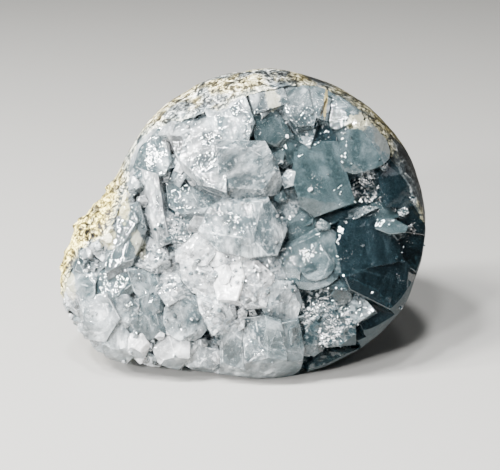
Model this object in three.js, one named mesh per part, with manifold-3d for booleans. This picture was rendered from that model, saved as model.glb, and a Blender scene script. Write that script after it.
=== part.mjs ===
// A celestite geode: a rounded stone whose dome was ground smooth, with a rough lobe of matrix on its left,
// and an open front that is filled by one crust of blocky celestite crystals.
// Millimetres, +Z up. The open face looks along -Y and leans back, and the stone stands on a small flat spot.
import * as THREE from "three";
import { mergeVertices } from "three/addons/utils/BufferGeometryUtils.js";
import Module from "manifold-3d";

const wasm = await Module();
wasm.setup();

// ---- Driving dimensions ----
// Shapes are laid out in the face frame: x to the right, y up along the open face, z out of it.
const faceLean = 20; // degrees that the open face leans back from upright
const centreHeight = 45.5; // from the flat spot up to the face frame's origin
const centreShift = [0.46, -4.3]; // puts the origin at the middle of the part's box

// The stone is the smooth union of two ellipsoids: the dome and the lobe on its left.
const dome = { centre: [7.4, 1.5, 0], half: [54.1, 52.7], front: 34, back: 40, turn: 0 };
const lobe = { centre: [-14.2, -6.5, 2], half: [51.3, 35.3], front: 27, back: 31, turn: 28.5 };
const stoneMiddle = [-6, -3, 0]; // a point inside both, from which the skin is measured
const seamSharp = 45; // how tightly the two meet in front above, where the notch is
const seamLow = 10; // in front below
const seamSoft = 7; // and at the back, where one runs into the other
const seamAbove = [-0.55, -0.05]; // a ray's rise, from where the seam is low to where it is sharp
const seamFront = [-0.7, 0.1]; // a ray's lean to the front, from where the seam is soft to where it isn't
// Splits of the sphere that each surface is made from.
const skinDetail = 13;
const limitDetail = 8;
const bedDetail = 6;

// Lumps of the stone's skin: each is [height, wavelength, phase] of one swell.
const domeLumps = [
  [0.7, 66, 1],
  [0.25, 27, 4],
];
const lobeLumps = [
  [0.8, 36, 2],
  [0.5, 19, 5],
];

// The hollow's mouth on the face, and the depth of its rim where the wall meets the stone's skin.
const mouth = [
  [62, -2],
  [58, 8],
  [51, 21],
  [43, 33],
  [35, 42],
  [24, 46.5],
  [8, 45],
  [-8, 38],
  [-22, 35.5],
  [-33, 30.5],
  [-39, 24],
  [-38, 15],
  [-41, 7],
  [-43.5, -2],
  [-55, -8],
  [-58.5, -19],
  [-62, -30],
  [-50, -50],
  [-20, -56],
  [10, -58],
  [34, -55],
  [54, -42],
  [66, -22],
];
const mouthCentre = [0, -4];
const mouthSides = 56;
const hollowFloor = -8; // depth of the hollow's floor
const rimHigh = 17; // depth of its rim along the top
const rimLow = -4; // depth of its rim along the bottom
const rimRise = [-0.55, 0.45]; // sine of the angle round the mouth, from the low rim to the high one
// The bowl has the mouth's outline: [share of the mouth's radius, share of the rim's height] up to the rim.
const bowl = [
  [0, 0],
  [0.45, 0.01],
  [0.72, 0.12],
  [0.9, 0.42],
  [1, 1],
];
const flare = 1.02; // the cutter's share of the mouth's radius in front of the stone
const hollowReach = 60; // how far in front of the face the hollow's cutter runs
const seatGap = 0.35; // clearance between the crust and the rind
const floorClearance = 0.8; // the crust stays this far above the resting plane

// The crystals' tips are flush with the skin at the rim and lie under it further in.
const tipsLevel = 11;
const tipsShare = 0.42;
const flushBand = [2, 14]; // from the rim to where the tips have sunk to their level
const crystalsPast = [0.3, 0.8]; // how far crystals may stand out past the skin on the dome and on the lobe
const bedScale = [0.94, 0.94, 0.48]; // the common bed that the crystals grow from, as a share of the stone

// ---- Solids ----
function solidFrom(geometry) {
  const bare = new THREE.BufferGeometry().setAttribute("position", geometry.getAttribute("position"));
  bare.setIndex(geometry.getIndex());
  const merged = mergeVertices(bare, 1e-4);
  const corners = merged.index.array;
  const triangles = [];
  for (let i = 0; i < corners.length; i += 3) {
    const [a, b, c] = [corners[i], corners[i + 1], corners[i + 2]];
    if (a !== b && b !== c && c !== a) triangles.push(a, b, c);
  }
  return new wasm.Manifold(
    new wasm.Mesh({
      numProp: 3,
      vertProperties: new Float32Array(merged.attributes.position.array),
      triVerts: new Uint32Array(triangles),
    }),
  );
}

function geometryFrom(solid) {
  const { vertProperties, triVerts } = solid.getMesh();
  const geometry = new THREE.BufferGeometry();
  geometry.setAttribute("position", new THREE.BufferAttribute(vertProperties, 3));
  geometry.setIndex(new THREE.BufferAttribute(triVerts, 1));
  const flat = geometry.toNonIndexed();
  flat.computeVertexNormals();
  return flat;
}

// The block that fills one side of a plane: everything behind it, seen along its normal.
const blockSize = 400;
function behind(normal, distance) {
  const block = new THREE.BoxGeometry(blockSize, blockSize, blockSize);
  block.translate(0, 0, distance - blockSize / 2);
  const turn = new THREE.Quaternion().setFromUnitVectors(new THREE.Vector3(0, 0, 1), normal);
  block.applyQuaternion(turn);
  return solidFrom(block);
}

// Repeatable random numbers from 0 to 1.
function randomFrom(seed) {
  let state = (seed * 48271 + 11) % 2147483647;
  return () => {
    state = (state * 16807) % 2147483647;
    return state / 2147483647;
  };
}

const radians = THREE.MathUtils.degToRad;
const stand = new THREE.Matrix4().makeRotationX(Math.PI / 2 - radians(faceLean));

// ---- The stone ----
// How far a ray from the stone's middle runs before it leaves one of the ellipsoids.
function rayLength(ray, { centre, half, front, back, turn }) {
  const upright = new THREE.Vector3(0, 0, 1);
  const r = ray.clone().applyAxisAngle(upright, -radians(turn));
  const start = new THREE.Vector3(...stoneMiddle).sub(new THREE.Vector3(...centre));
  const o = start.applyAxisAngle(upright, -radians(turn));
  const leave = (depth) => {
    const a = (r.x / half[0]) ** 2 + (r.y / half[1]) ** 2 + (r.z / depth) ** 2;
    const b = (o.x * r.x) / half[0] ** 2 + (o.y * r.y) / half[1] ** 2 + (o.z * r.z) / depth ** 2;
    const c = (o.x / half[0]) ** 2 + (o.y / half[1]) ** 2 + (o.z / depth) ** 2 - 1;
    return (-b + Math.sqrt(b * b - a * c)) / a;
  };
  const forward = leave(front);
  return o.z + forward * r.z >= 0 ? forward : leave(back);
}

function swell(point, lumps) {
  let height = 0;
  for (const [rise, wavelength, phase] of lumps) {
    const turn = (2 * Math.PI) / wavelength;
    const a = turn * (point.x + 0.5 * point.y) + phase;
    const b = turn * (point.y - 0.4 * point.z) + 2 * phase;
    const c = turn * (point.z + 0.3 * point.x) + 3 * phase;
    height += rise * Math.sin(a + Math.sin(b)) * Math.sin(c + Math.sin(a));
  }
  return height;
}

// The stone's skin in the face frame, moved outwards by grow on the dome and on the lobe.
function skinGeometry(detail, grow, lumpy) {
  const sphere = new THREE.IcosahedronGeometry(1, detail);
  const skin = mergeVertices(sphere.deleteAttribute("normal").deleteAttribute("uv"));
  const place = skin.attributes.position;
  const ray = new THREE.Vector3();
  for (let i = 0; i < place.count; i++) {
    ray.fromBufferAttribute(place, i).normalize();
    const toDome = rayLength(ray, dome);
    const toLobe = rayLength(ray, lobe);
    const above = THREE.MathUtils.smoothstep(ray.y, ...seamAbove);
    const front = THREE.MathUtils.smoothstep(ray.z, ...seamFront);
    const sharp = THREE.MathUtils.lerp(seamSoft, THREE.MathUtils.lerp(seamLow, seamSharp, above), front);
    const share = 1 / (1 + (toDome / toLobe) ** sharp); // 0 on the dome, 1 on the lobe
    let reach = toDome * (1 + (toLobe / toDome) ** sharp) ** (1 / sharp);
    const point = ray.clone().multiplyScalar(reach);
    reach += THREE.MathUtils.lerp(grow[0], grow[1], share);
    if (lumpy) {
      reach += THREE.MathUtils.lerp(swell(point, domeLumps), swell(point, lobeLumps), share);
    }
    point.copy(ray).multiplyScalar(reach).add(new THREE.Vector3(...stoneMiddle));
    place.setXYZ(i, point.x, point.y, point.z);
  }
  return skin;
}

function standing(geometry) {
  return solidFrom(geometry.applyMatrix4(stand));
}

// Depth of the stone's smooth skin in front of a point of the face.
function skinDepth(x, y) {
  let depth = 0;
  for (const { centre, half, front, turn } of [dome, lobe]) {
    const c = Math.cos(radians(turn));
    const s = Math.sin(radians(turn));
    const along = (x - centre[0]) * c + (y - centre[1]) * s;
    const across = -(x - centre[0]) * s + (y - centre[1]) * c;
    const rest = 1 - (along / half[0]) ** 2 - (across / half[1]) ** 2;
    if (rest > 0) depth = Math.max(depth, centre[2] + front * Math.sqrt(rest));
  }
  return depth;
}

// ---- The hollow ----
// A point of the face as [angle, distance] around the mouth's centre.
function fromMouth([x, y]) {
  const [right, up] = [x - mouthCentre[0], y - mouthCentre[1]];
  return [Math.atan2(up, right), Math.hypot(right, up)];
}

const mouthCorners = mouth.map(fromMouth).sort((a, b) => a[0] - b[0]);
function mouthRadius(angle) {
  const last = mouthCorners[mouthCorners.length - 1];
  let before = [last[0] - 2 * Math.PI, last[1]];
  for (const after of [...mouthCorners, [mouthCorners[0][0] + 2 * Math.PI, mouthCorners[0][1]]]) {
    if (angle <= after[0]) {
      return THREE.MathUtils.lerp(before[1], after[1], (angle - before[0]) / (after[0] - before[0]));
    }
    before = after;
  }
  return before[1];
}

// How far a point of the face lies inside the mouth.
function insideMouth(x, y) {
  const [angle, distance] = fromMouth([x, y]);
  return mouthRadius(angle) - distance;
}

function tipsDepth(x, y) {
  const skin = skinDepth(x, y);
  const sunk = THREE.MathUtils.smoothstep(insideMouth(x, y), ...flushBand);
  return THREE.MathUtils.lerp(skin, Math.min(skin, tipsLevel + tipsShare * skin), sunk);
}

function rimDepth(angle) {
  const up = THREE.MathUtils.smoothstep(Math.sin(angle), ...rimRise);
  return THREE.MathUtils.lerp(rimLow, rimHigh, up);
}

function hollow(gap) {
  const profile = bowl.map(([r], i) => new THREE.Vector2(r, i));
  profile.push(new THREE.Vector2(flare, bowl.length));
  profile.push(new THREE.Vector2(0, bowl.length));
  const lathe = new THREE.LatheGeometry(profile, mouthSides);
  const place = lathe.attributes.position;
  for (let i = 0; i < place.count; i++) {
    const ring = Math.round(place.getY(i));
    const share = Math.hypot(place.getX(i), place.getZ(i));
    const angle = Math.atan2(place.getX(i), place.getZ(i));
    const reach = share * Math.max(mouthRadius(angle) - gap, 0);
    const rim = rimDepth(angle);
    const depth =
      ring < bowl.length ? hollowFloor + (rim - hollowFloor) * bowl[ring][1] + gap : hollowReach;
    const x = mouthCentre[0] + reach * Math.cos(angle);
    const y = mouthCentre[1] + reach * Math.sin(angle);
    place.setXYZ(i, x, y, depth);
  }
  return standing(lathe);
}

// ---- The crystals ----
// Each is a convex block with a flat front: its outline as seen from in front of the face, how far the
// front lies under the tips' level, and the lean of its axis to the right and up.
const large = [
  {
    outline: [[-40, 29], [-30, 34], [-26.5, 28], [-25.5, 22.5], [-27, 18], [-32, 17], [-37, 18.5]],
    inset: 0.8,
    lean: [-0.3, 0.3],
  },
  {
    outline: [[-29, 41], [-14, 44], [-8, 27], [-7, 12.5], [-15, 15.5], [-20.5, 21]],
    inset: -0.3,
    lean: [-0.1, 0.3],
  },
  {
    outline: [[-8, 27], [6, 26.5], [9.5, 20.5], [11, 14.5], [10, 12], [1, 10], [-6.5, 12]],
    inset: -1.5,
    lean: [0.15, -0.1],
  },
  {
    outline: [[-14, 44], [1, 49.5], [3.5, 38.5], [2, 34], [4.5, 27.5], [-8, 27]],
    inset: 0.7,
    lean: [-0.05, 0.4],
  },
  {
    outline: [
      [3.2, 33.5], [3.8, 36.7], [8.9, 39], [10.5, 36.5],
      [15.9, 30.3], [12.3, 27.3], [4.9, 28.4],
    ],
    inset: 1,
    lean: [0.22, 0.02],
  },
  {
    outline: [[4.5, 28], [12.3, 27], [11.5, 21.8], [7.5, 22.5]],
    inset: 4.5,
    lean: [-0.1, 0.3],
  },
  {
    outline: [[8, 52], [19, 53], [22, 37], [21.5, 34.8], [17.3, 34.3], [14, 37.5], [11.5, 42]],
    inset: 0.6,
    lean: [0.1, 0.62],
  },
  {
    outline: [[22.7, 33.8], [24.9, 35.6], [28.8, 29], [28.5, 27], [21.1, 27.5]],
    inset: 3.5,
    lean: [-0.2, 0.1],
  },
  {
    outline: [[17.5, 24.5], [21, 27], [29.5, 27], [34.5, 9], [23, 5], [19.5, 7.5], [16.5, 16]],
    inset: 2.5,
    lean: [0, 0.06],
  },
  {
    outline: [[18.5, 53], [28, 53], [26, 36.5], [22, 37]],
    inset: -0.3,
    lean: [0.1, 0.65],
  },
  {
    outline: [[27.5, 50], [41, 46], [36.5, 37], [30.5, 34], [27, 36]],
    inset: 0.2,
    lean: [0.3, 0.55],
  },
  {
    outline: [[27, 35.5], [32.5, 36.5], [33, 30], [31.5, 23], [29.5, 26.5]],
    inset: 4,
    lean: [-0.3, 0.2],
  },
  {
    outline: [
      [32.5, 30], [38.5, 32.5], [44, 31.5], [46.5, 26],
      [46, 22.5], [41, 20], [34, 18.5], [32, 22.5],
    ],
    inset: 0.5,
    lean: [0.1, 0.15],
  },
  {
    outline: [[32.5, 18], [41, 20], [45, 19.5], [46, 11.5], [40.5, 9.5], [35.5, 10]],
    inset: 8,
    lean: [-0.35, 0.1],
  },
  {
    outline: [[46, 22.5], [50, 26], [58, 22], [60, 14], [54.5, 8], [47.5, 8], [45, 16.5]],
    inset: 2,
    lean: [0.4, 0.05],
  },
  {
    outline: [[35.5, 10], [47.5, 8], [51, 5.5], [42.5, 2], [32.5, 4]],
    inset: 7,
    lean: [0.1, 0.4],
  },
  {
    outline: [[50, -2.5], [60, -1], [66, -8], [64, -17], [55.5, -12], [51.5, -9.5]],
    inset: 2,
    lean: [0.5, 0],
  },
  {
    outline: [[52.5, 8], [60, 10], [64, 4.5], [64, -1], [52.5, 0]],
    inset: 1.5,
    lean: [0.5, 0.1],
  },
  {
    outline: [[41, 3.5], [43.5, 4.8], [48.5, 2], [53, 2], [52, -0.5], [47.5, -1], [43, 1]],
    inset: 3.8,
    lean: [0, 0.3],
  },
  {
    outline: [
      [32.5, 1.5], [42, 2.5], [49.5, -3.5], [51, -9.5],
      [40.5, -12], [32.5, -13.5], [30.5, -4],
    ],
    inset: 3.5,
    lean: [0.25, 0.1],
  },
  {
    outline: [
      [32.5, -13.5], [40.5, -12], [51.5, -9.5], [64, -18.5],
      [53, -27], [42.5, -23], [35.5, -19.5],
    ],
    inset: 3.5,
    lean: [0.62, 0.02],
  },
  {
    outline: [
      [36.5, -23], [42.5, -22.5], [51.5, -25], [61, -26],
      [50, -42], [38, -36], [37, -31.5],
    ],
    inset: 4,
    lean: [0.5, 0.15],
  },
  {
    outline: [[32.5, -24], [36.5, -22], [41, -27], [36.5, -30]],
    inset: 3.8,
    lean: [-0.35, 0.39],
  },
  {
    outline: [
      [17.5, -21.5], [27, -20.5], [31.5, -25.5], [35.5, -32],
      [35.5, -37.5], [24.5, -38.5], [19, -34.5],
    ],
    inset: 4.5,
    lean: [0.05, -0.02],
  },
  {
    outline: [
      [18, -47], [24, -41.5], [35.5, -37.5], [47, -38.5],
      [42, -50], [24, -57], [18.5, -54],
    ],
    inset: 2.5,
    lean: [0.25, -0.1],
  },
  {
    outline: [
      [12, -8], [16.5, -4.5], [24, -1], [28, -1], [31.5, -6],
      [31.5, -12], [28.5, -17], [22, -19.5], [15, -18],
    ],
    inset: 3.5,
    lean: [0, 0.05],
  },
  {
    outline: [
      [18.5, -8], [21, -5.5], [26.5, -6.5], [29, -10.5],
      [27, -15], [22, -16.5], [19, -13.5],
    ],
    inset: 2,
    lean: [0.05, 0.1],
  },
  {
    outline: [[13, -9], [17.5, -10.5], [16.5, -17.5], [13.5, -15]],
    inset: 3,
    lean: [-0.2, 0],
  },
  {
    outline: [[11, 14.5], [15.5, 15.5], [19.5, 7], [17.5, 2], [14.5, 4.5]],
    inset: 8.5,
    lean: [0.35, 0],
  },
  {
    outline: [[8, 9.5], [12.5, 9.5], [17.5, 2], [13.5, -2.5], [11, 2]],
    inset: 7.5,
    lean: [0.35, 0.1],
  },
  {
    outline: [[13.5, 1], [18.5, 7], [25, 5], [23, 0], [16, -4]],
    inset: 6.5,
    lean: [0, 0.4],
  },
  {
    outline: [[25, 5.5], [34, 8.5], [40, 7.5], [32.5, 4], [27.5, 0]],
    inset: 7.5,
    lean: [-0.1, 0.5],
  },
  {
    outline: [
      [-13.5, -0.5], [-10.5, 6], [-4.5, 9.5], [6, 10], [9, 5],
      [12, 0], [9.5, -7], [1.5, -8], [-8, -6],
    ],
    inset: -1.5,
    lean: [0, 0.25],
  },
  {
    outline: [
      [-25, 16.5], [-15, 14.5], [-6.5, 11], [-10.5, 6],
      [-14, 0], [-18.5, 3.5], [-23.5, 3.5],
    ],
    inset: 5,
    lean: [0, 0.15],
  },
  {
    outline: [[-29, 15], [-25, 17.5], [-23, 5], [-27, 3.5]],
    inset: 6,
    lean: [-0.5, 0],
  },
  {
    outline: [[-34.5, 18], [-29.5, 16.5], [-28, 8], [-25.5, -4], [-28, -5], [-32.5, 6]],
    inset: 1,
    lean: [-0.3, 0.05],
  },
  {
    outline: [[-24, 3], [-17.5, 3.5], [-14, 0], [-17, -3.5], [-25, -3.5]],
    inset: 4,
    lean: [0.2, 0.3],
  },
  {
    outline: [[-9, -12], [-3, -11], [-1.5, -14.5], [-3.5, -22.5], [-8, -22], [-9.5, -16.5]],
    inset: -0.5,
    lean: [-0.35, 0.39],
  },
  {
    outline: [[-2.5, -16], [0, -12], [4, -12], [8.5, -16], [6, -24.5], [1.5, -25], [-2.5, -21.5]],
    inset: 0,
    lean: [0.2, 0.1],
  },
  {
    outline: [[6, -7], [11.5, -8], [13, -16], [9, -18.5], [6, -14.5]],
    inset: 3,
    lean: [0.3, 0.2],
  },
  {
    outline: [[8, -18.5], [16, -19], [17.5, -24.5], [15.5, -31], [9, -29.5], [6, -25]],
    inset: 2,
    lean: [0.1, -0.2],
  },
  {
    outline: [[0.5, -31.5], [7.5, -30.5], [8, -54], [2, -54]],
    inset: -0.3,
    lean: [-0.1, -0.35],
  },
  {
    outline: [[8, -30.5], [11, -31.5], [13, -39], [12, -54], [8, -54]],
    inset: 0,
    lean: [0.15, -0.35],
  },
  {
    outline: [[11.5, -32.5], [17, -32], [18.5, -40], [17.5, -47], [13.5, -53]],
    inset: 1,
    lean: [0.25, -0.4],
  },
  {
    outline: [[-7, -34.5], [0.5, -32], [1.5, -54], [-6, -54]],
    inset: 0.3,
    lean: [0.05, -0.4],
  },
  {
    outline: [[-18.5, -37.5], [-10, -39.5], [-8.5, -45], [-13, -50], [-18, -46]],
    inset: -0.8,
    lean: [0.1, -0.5],
  },
  {
    outline: [
      [-29.5, -39.5], [-25.5, -36], [-19.5, -37.5],
      [-19.5, -42.5], [-24, -46.5], [-28, -44],
    ],
    inset: -1,
    lean: [-0.2, -0.1],
  },
  {
    outline: [[-37.5, -36.5], [-34, -36], [-32.5, -39], [-34.5, -42.5], [-37.5, -41.5]],
    inset: -0.8,
    lean: [-0.1, -0.3],
  },
  {
    outline: [[-46.5, -36.5], [-42, -30.5], [-38.5, -36.5], [-39, -43], [-42, -46], [-46, -43.5]],
    inset: -1,
    lean: [-0.25, -0.4],
  },
  {
    outline: [[-54.5, -24.5], [-46, -23], [-42, -30.5], [-47, -36.5], [-53.5, -36]],
    inset: -0.5,
    lean: [-0.5, -0.2],
  },
  {
    outline: [[-56, -8], [-50, -16.5], [-50.5, -23.5], [-57, -20], [-59.5, -15.5]],
    inset: 0.5,
    lean: [-0.5, 0.1],
  },
  {
    outline: [[-45, -8], [-41, 5], [-35.5, 7], [-33.5, -0.5], [-38, -11.5], [-44, -15]],
    inset: 0.5,
    lean: [-0.25, 0.1],
  },
  {
    outline: [[-50, -16.5], [-45, -14.5], [-38, -12], [-35.5, -18.5], [-41, -23], [-48, -24]],
    inset: 1.5,
    lean: [-0.2, 0.1],
  },
  {
    outline: [[-37.5, -12.5], [-29.5, -13.5], [-27, -19.5], [-32.5, -24.5], [-35.5, -19]],
    inset: 2.5,
    lean: [0.3, 0.1],
  },
  {
    outline: [[-33.5, -1.5], [-27, -6], [-25.5, -11.5], [-29.5, -13.5], [-35.5, -11.5]],
    inset: 3,
    lean: [-0.1, 0.3],
  },
  {
    outline: [[-29, -13.5], [-20.5, -16.5], [-18.5, -21], [-25, -24.5], [-28, -20]],
    inset: 2.8,
    lean: [-0.1, 0.2],
  },
  {
    outline: [[-35.5, -24.5], [-27, -21], [-25, -25.5], [-26, -34], [-32.5, -36], [-36.5, -30.5]],
    inset: 2,
    lean: [0.2, -0.1],
  },
  {
    outline: [[-25, -25], [-18, -22], [-12.5, -27], [-13.5, -34.5], [-20.5, -36.5], [-25.5, -33]],
    inset: 1,
    lean: [0, -0.1],
  },
  {
    outline: [[-17, -20.5], [-10, -22.5], [-4.5, -24.5], [-4.5, -32.5], [-12.5, -34], [-13.5, -27]],
    inset: 0.3,
    lean: [0.1, 0.15],
  },
  {
    outline: [[-46, -24], [-39, -23], [-35.5, -26], [-36.5, -31.5], [-42, -30.5]],
    inset: 1,
    lean: [-0.2, -0.1],
  },
  {
    outline: [[-22, -4], [-13.5, -2.5], [-10, -7.5], [-13.5, -11.5], [-21.5, -10]],
    inset: 2,
    lean: [-0.2, 0.2],
  },
  {
    outline: [[-10, -7.5], [0, -8], [1.5, -11.5], [-3, -11.5], [-9, -12], [-13, -11.5]],
    inset: 1.5,
    lean: [0, -0.2],
  },
  {
    outline: [[-20, -11.5], [-13.5, -12], [-10, -16], [-10.5, -22], [-16.5, -20], [-19.5, -16.5]],
    inset: 1,
    lean: [-0.1, 0],
  },
  {
    outline: [
      [-18.5, 27], [-16.5, 30], [-13, 30], [-10, 26.5],
      [-9.5, 21.5], [-12.5, 18.5], [-16.5, 20.5],
    ],
    inset: -1.4,
    lean: [0.05, 0.15],
  },
  {
    outline: [[3, 37.5], [0.5, 51], [9.5, 52], [13, 41.5], [9.5, 40], [4.5, 38]],
    inset: 0.2,
    lean: [0.05, 0.6],
  },
  {
    outline: [[12.8, 27.1], [17, 30.5], [19.4, 27.5], [17, 22.8], [15.1, 22.2], [12.5, 25.6]],
    inset: 4,
    lean: [0.1, 0.1],
  },
  {
    outline: [[17.3, 34.3], [22.3, 34.7], [20.6, 27.5], [17.7, 30.1]],
    inset: 3.2,
    lean: [-0.36, 0.39],
  },
  {
    outline: [[26.5, 1], [34.3, 6.5], [42.8, 6.1], [46, 4], [43.2, 3], [35.7, 4], [29, 0.3]],
    inset: 5,
    lean: [-0.1, 0.45],
  },
];
const grown = 1.2; // crystals run this far into their neighbours
const taper = 0.09; // how much the side faces spread for each millimetre back from the front
const sideLean = 0.4; // share of the front's lean that the side faces take
const chamferShare = 0.5; // the share of the front's edges that carry a sloping facet of their own
const chamferWidth = [0.7, 2.4];
const chamferSlope = [0.5, 1.3];

// Smaller crystals fill what is left between the large ones. They stand on a loose grid.
const smallPitch = 6.4;
const smallRowPitch = 5.57;
const smallRows = 9; // rows on each side of the middle
const smallColumns = 11; // columns on each side of the middle
const smallStray = 3; // how far one may stand from its place in the grid
const smallWidth = [4.5, 8];
const smallInset = [1.5, 5];
const smallRimInset = [0, 1.5];
const smallCorners = [4, 6];
const smallUneven = 0.4; // how unevenly its corners are spread, as a share of one corner's turn
const smallLean = 0.45;
const smallFan = 0.008; // how much more they lean outwards with each millimetre from the middle
const smallLeastSkin = 6; // none stands where the stone is thinner than this
const rimBand = 5; // how far from the rim a crystal counts as lying at the rim
const rimReach = -1; // how far inside the rim a crystal's middle must be
// Seeds of the random numbers.
const gridSeed = 7;
const largeSeed = 100;
const smallSeed = 1000;
const seedsPerRow = 40;

function middleOf(outline) {
  const sum = outline.reduce(([a, b], [x, y]) => [a + x, b + y], [0, 0]);
  return [sum[0] / outline.length, sum[1] / outline.length];
}

// Twice the outline's area, over zero where it runs anticlockwise.
function turnOf(outline) {
  return outline.reduce((sum, [x, y], i) => {
    const [nextX, nextY] = outline[(i + 1) % outline.length];
    return sum + x * nextY - nextX * y;
  }, 0);
}

function isInside([x, y], outline) {
  let inside = false;
  outline.forEach(([ax, ay], i) => {
    const [bx, by] = outline[(i + 1) % outline.length];
    if (ay > y !== by > y && x < ((bx - ax) * (y - ay)) / (by - ay) + ax) inside = !inside;
  });
  return inside;
}

function crystal({ outline, inset, lean, seed, overlap }) {
  const random = randomFrom(seed);
  const between = ([low, high]) => low + (high - low) * random();
  const [x, y] = middleOf(outline);
  const front = tipsDepth(x, y) - inset;
  const corners = turnOf(outline) > 0 ? outline : [...outline].reverse();
  const axis = new THREE.Vector3(lean[0], lean[1], 1).normalize();
  const middle = new THREE.Vector3(x, y, front);
  const frontDepth = (px, py) => front - lean[0] * (px - x) - lean[1] * (py - y);
  let solid = behind(axis, axis.dot(middle));
  corners.forEach(([ax, ay], i) => {
    const [bx, by] = corners[(i + 1) % corners.length];
    const out = new THREE.Vector2(by - ay, ax - bx).normalize();
    const corner = new THREE.Vector3(ax, ay, frontDepth(ax, ay));
    const tipped = sideLean * (out.x * lean[0] + out.y * lean[1]);
    const side = new THREE.Vector3(out.x, out.y, taper - tipped).normalize();
    corner.addScaledVector(side, overlap);
    solid = solid.intersect(behind(side, side.dot(corner)));
    if (random() < chamferShare) {
      const slope = between(chamferSlope);
      const facet = side.clone().multiplyScalar(slope).add(axis).normalize();
      corner.addScaledVector(side, -between(chamferWidth));
      solid = solid.intersect(behind(facet, facet.dot(corner)));
    }
  });
  return solid;
}

function smallCrystals() {
  const random = randomFrom(gridSeed);
  const between = ([low, high]) => low + (high - low) * random();
  const stray = (most) => (random() - 0.5) * 2 * most;
  const found = [];
  for (let row = -smallRows; row <= smallRows; row++) {
    for (let column = -smallColumns; column <= smallColumns; column++) {
      const x = (column + (row % 2) / 2) * smallPitch + stray(smallStray / 2);
      const y = row * smallRowPitch + stray(smallStray / 2);
      const count = Math.round(between(smallCorners));
      const start = random() * Math.PI;
      const radius = between(smallWidth) / 2;
      const outline = Array.from({ length: count }, (_, i) => {
        const angle = start + ((i + stray(smallUneven / 2)) * 2 * Math.PI) / count;
        return [x + radius * Math.cos(angle), y + radius * Math.sin(angle)];
      });
      const toRim = insideMouth(x, y);
      const inset = between(toRim < rimBand ? smallRimInset : smallInset);
      const lean = [x * smallFan + stray(smallLean), y * smallFan + stray(smallLean)];
      const seed = smallSeed + row * seedsPerRow + column;
      const covered = large.some((one) => isInside([x, y], one.outline));
      if (skinDepth(x, y) > smallLeastSkin && toRim > rimReach && !covered) {
        found.push({ outline, inset, lean, seed, overlap: 0 });
      }
    }
  }
  return found;
}

function joined(solids) {
  return solids.reduce((all, one) => all.add(one));
}

// Crumbs that the cuts left loose are dropped: the largest body is the piece.
function largestBody(solid) {
  return solid.decompose().reduce((best, one) => (one.volume() > best.volume() ? one : best));
}

// ---- The pieces ----
const down = new THREE.Vector3(0, 0, -1);
const largeCrystals = large.map((one, i) => ({ ...one, seed: largeSeed + i, overlap: grown }));
const crystals = [...largeCrystals, ...smallCrystals()].map(crystal);
const limit = standing(skinGeometry(limitDetail, crystalsPast, false));
const bed = standing(skinGeometry(bedDetail, [0, 0], false).scale(...bedScale));

const rindSolid = standing(skinGeometry(skinDetail, [0, 0], true))
  .subtract(hollow(0))
  .intersect(behind(down, centreHeight));
const crustSolid = joined(crystals)
  .transform(stand.elements)
  .intersect(limit)
  .add(bed)
  .intersect(hollow(seatGap))
  .intersect(behind(down, centreHeight - floorClearance));

// ---- The scene graph ----
const geode = new THREE.Group();
geode.position.set(centreShift[0], centreShift[1], centreHeight);

const rindStone = new THREE.MeshStandardMaterial({ color: 0xc9c6b8, roughness: 0.62, metalness: 0 });
const celestite = new THREE.MeshStandardMaterial({ color: 0xb4c4cd, roughness: 0.22, metalness: 0 });

const rind = new THREE.Mesh(geometryFrom(largestBody(rindSolid)), rindStone);
rind.name = "rind";
const crust = new THREE.Mesh(geometryFrom(largestBody(crustSolid)), celestite);
crust.name = "crystal_crust";
geode.add(rind, crust);

export default geode;
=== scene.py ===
# %% [markdown]
# # A celestite geode
# A geode is a hollow stone that crystals have filled from the wall inwards. This one was broken open on
# one side and ground smooth on the other, so it has two very different surfaces: a dull stone skin, and
# a crust of pale blue celestite crystals that light enters. The solid model holds both as two bodies,
# and this file builds each again with the fine forms and finishes that those solids leave out.
#
# The lengths below are millimetres unless a comment says otherwise.

# %% Load the solid model
import math

import bmesh
import bpy
import numpy as np
from mathutils import Matrix, Vector, noise
from mathutils.bvhtree import BVHTree


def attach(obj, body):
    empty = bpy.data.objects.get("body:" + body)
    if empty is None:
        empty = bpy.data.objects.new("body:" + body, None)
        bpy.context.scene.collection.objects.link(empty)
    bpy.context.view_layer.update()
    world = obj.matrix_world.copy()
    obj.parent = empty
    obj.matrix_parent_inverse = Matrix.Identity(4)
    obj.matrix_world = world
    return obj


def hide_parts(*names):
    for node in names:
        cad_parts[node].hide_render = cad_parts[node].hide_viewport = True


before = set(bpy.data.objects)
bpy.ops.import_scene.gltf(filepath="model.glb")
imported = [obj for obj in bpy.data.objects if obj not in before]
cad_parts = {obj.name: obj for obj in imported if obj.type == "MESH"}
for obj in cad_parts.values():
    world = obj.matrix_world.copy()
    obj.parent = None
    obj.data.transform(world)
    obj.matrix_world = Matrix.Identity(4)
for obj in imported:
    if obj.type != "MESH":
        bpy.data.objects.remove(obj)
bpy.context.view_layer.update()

print("solid model:", sorted(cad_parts))

# %% [markdown]
# ## Two frames
# The stone stands on a small flat spot and its open face leans back by 20 degrees. It could be modelled as
# it stands, but crystals are easiest to place on the open face itself, as if that lay flat on a bench:
# x to the right, y up along the face and z out of it, in millimetres. One matrix then stands it up, and
# it also turns millimetres into the scene's metres.

# %% The face frame
MM = 0.001
FACE_LEAN = math.radians(20)
FACE_CENTRE = Vector((0.46, -4.3, 45.5))
TO_WORLD = (
    Matrix.Scale(MM, 4)
    @ Matrix.Translation(FACE_CENTRE)
    @ Matrix.Rotation(math.pi / 2 - FACE_LEAN, 4, "X")
)
TO_FACE = TO_WORLD.inverted()
FLOOR_NORMAL = (TO_FACE.to_3x3() @ Vector((0, 0, 1))).normalized()
FLOOR_POINT = TO_FACE @ Vector((0, 0, 0))
print("face centre, mm:", [round(v, 2) for v in FACE_CENTRE])

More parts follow.
